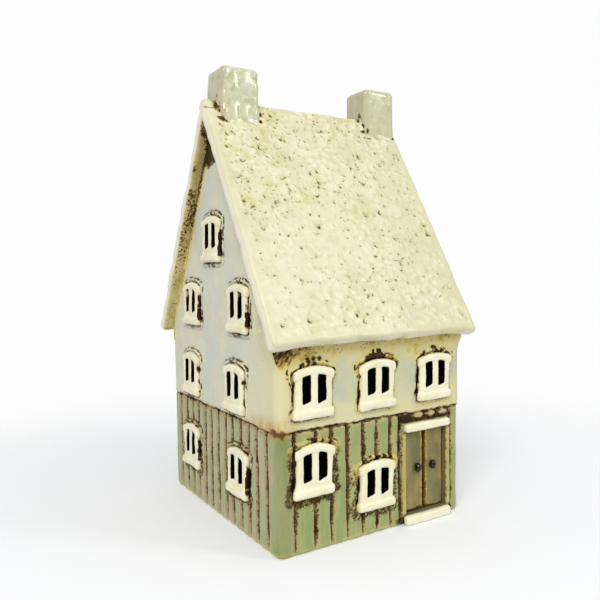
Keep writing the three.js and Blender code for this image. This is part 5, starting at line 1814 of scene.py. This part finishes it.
def make_floor():
    """A pale floor under the house that fades out into the white round it."""
    inner, outer = 0.09, 0.30
    mesh = bpy.data.meshes.new("floor")
    corners = [(-1, -1), (1, -1), (1, 1), (-1, 1)]
    mesh.from_pydata([(x * outer, y * outer, -FLOOR_DOWN) for x, y in corners], [], [(0, 1, 2, 3)])
    floor = bpy.data.objects.new("floor", mesh)
    bpy.context.scene.collection.objects.link(floor)
    n = Nodes("floor")
    n.finish("#F1F3F8", 0.9, Specular_IOR_Level=0.1)
    camera_ray = n.tree.nodes.new("ShaderNodeLightPath").outputs["Is Camera Ray"]
    n.put(n.shader.inputs["Emission Strength"], n.times(camera_ray, FLOOR_GLOW))
    n.shader.inputs["Emission Color"].default_value = (1, 1, 1, 1)
    reach = n.tree.nodes.new("ShaderNodeVectorMath")
    reach.operation = "LENGTH"
    n.put(reach.inputs[0], n.place)
    n.put(n.shader.inputs["Alpha"], n.span(reach.outputs["Value"], inner, outer, 1.0, 0.0))
    mesh.materials.append(n.material)


def area_light(name, place, target, size, power, color):
    """A lamp of a size in metres at a place in metres, turned to its target."""
    data = bpy.data.lights.new(name, "AREA")
    data.shape = "RECTANGLE"
    data.size, data.size_y = size
    data.energy = power
    data.color = color
    lamp = bpy.data.objects.new(name, data)
    lamp.location = Vector(place)
    lamp.rotation_euler = (Vector(target) - Vector(place)).to_track_quat("-Z", "Y").to_euler()
    bpy.context.scene.collection.objects.link(lamp)


def make_world(strength):
    """White to the camera, and a softer grey to everything it lights."""
    world = bpy.data.worlds.new("studio")
    world.use_nodes = True
    tree = world.node_tree
    tree.nodes["Background"].inputs["Color"].default_value = (1.0, 0.995, 0.98, 1.0)
    tree.nodes["Background"].inputs["Strength"].default_value = strength
    white = tree.nodes.new("ShaderNodeBackground")
    white.inputs["Color"].default_value = (0.98, 0.98, 0.98, 1.0)
    choice = tree.nodes.new("ShaderNodeMixShader")
    tree.links.new(tree.nodes.new("ShaderNodeLightPath").outputs["Is Camera Ray"], choice.inputs[0])
    tree.links.new(tree.nodes["Background"].outputs[0], choice.inputs[1])
    tree.links.new(white.outputs[0], choice.inputs[2])
    tree.links.new(choice.outputs[0], tree.nodes["World Output"].inputs["Surface"])
    bpy.context.scene.world = world


CAMERA_PLACE = (-150.14, -238.02, 102.74)
CAMERA_YAW = 31.70  # degrees to the right of +Y
CAMERA_PITCH = 2.89  # degrees downwards
CAMERA_ROLL = -0.842
CAMERA_LENS = 37.87


def make_camera():
    """The photograph's view, with its slight roll."""
    yaw, pitch, roll = (math.radians(v) for v in (CAMERA_YAW, CAMERA_PITCH, CAMERA_ROLL))
    level = math.cos(pitch)
    forward = Vector((math.sin(yaw) * level, math.cos(yaw) * level, -math.sin(pitch)))
    right = Vector((math.cos(yaw), -math.sin(yaw), 0))
    up = right.cross(forward)
    rolled_right = math.cos(roll) * right + math.sin(roll) * up
    rolled_up = -math.sin(roll) * right + math.cos(roll) * up
    data = bpy.data.cameras.new("camera")
    data.lens = CAMERA_LENS
    data.sensor_width = 36.0
    data.clip_start, data.clip_end = 0.01, 20
    camera = bpy.data.objects.new("camera", data)
    turn = Matrix((rolled_right, rolled_up, -forward)).transposed().to_4x4()
    camera.matrix_world = Matrix.Translation(Vector(CAMERA_PLACE) * MM) @ turn
    bpy.context.scene.collection.objects.link(camera)
    bpy.context.scene.camera = camera


make_camera()
make_floor()
make_world(strength=0.58)
area_light("key", (-0.62, -0.62, 0.80), (0, 0, 0.08), (0.5, 0.4), 6.0, (1.0, 0.99, 0.96))
area_light("glint", (0.55, -0.70, 0.60), (0, 0, 0.10), (0.22, 0.30), 1.8, (1.0, 1.0, 1.0))
bpy.context.scene.view_settings.view_transform = "Standard"
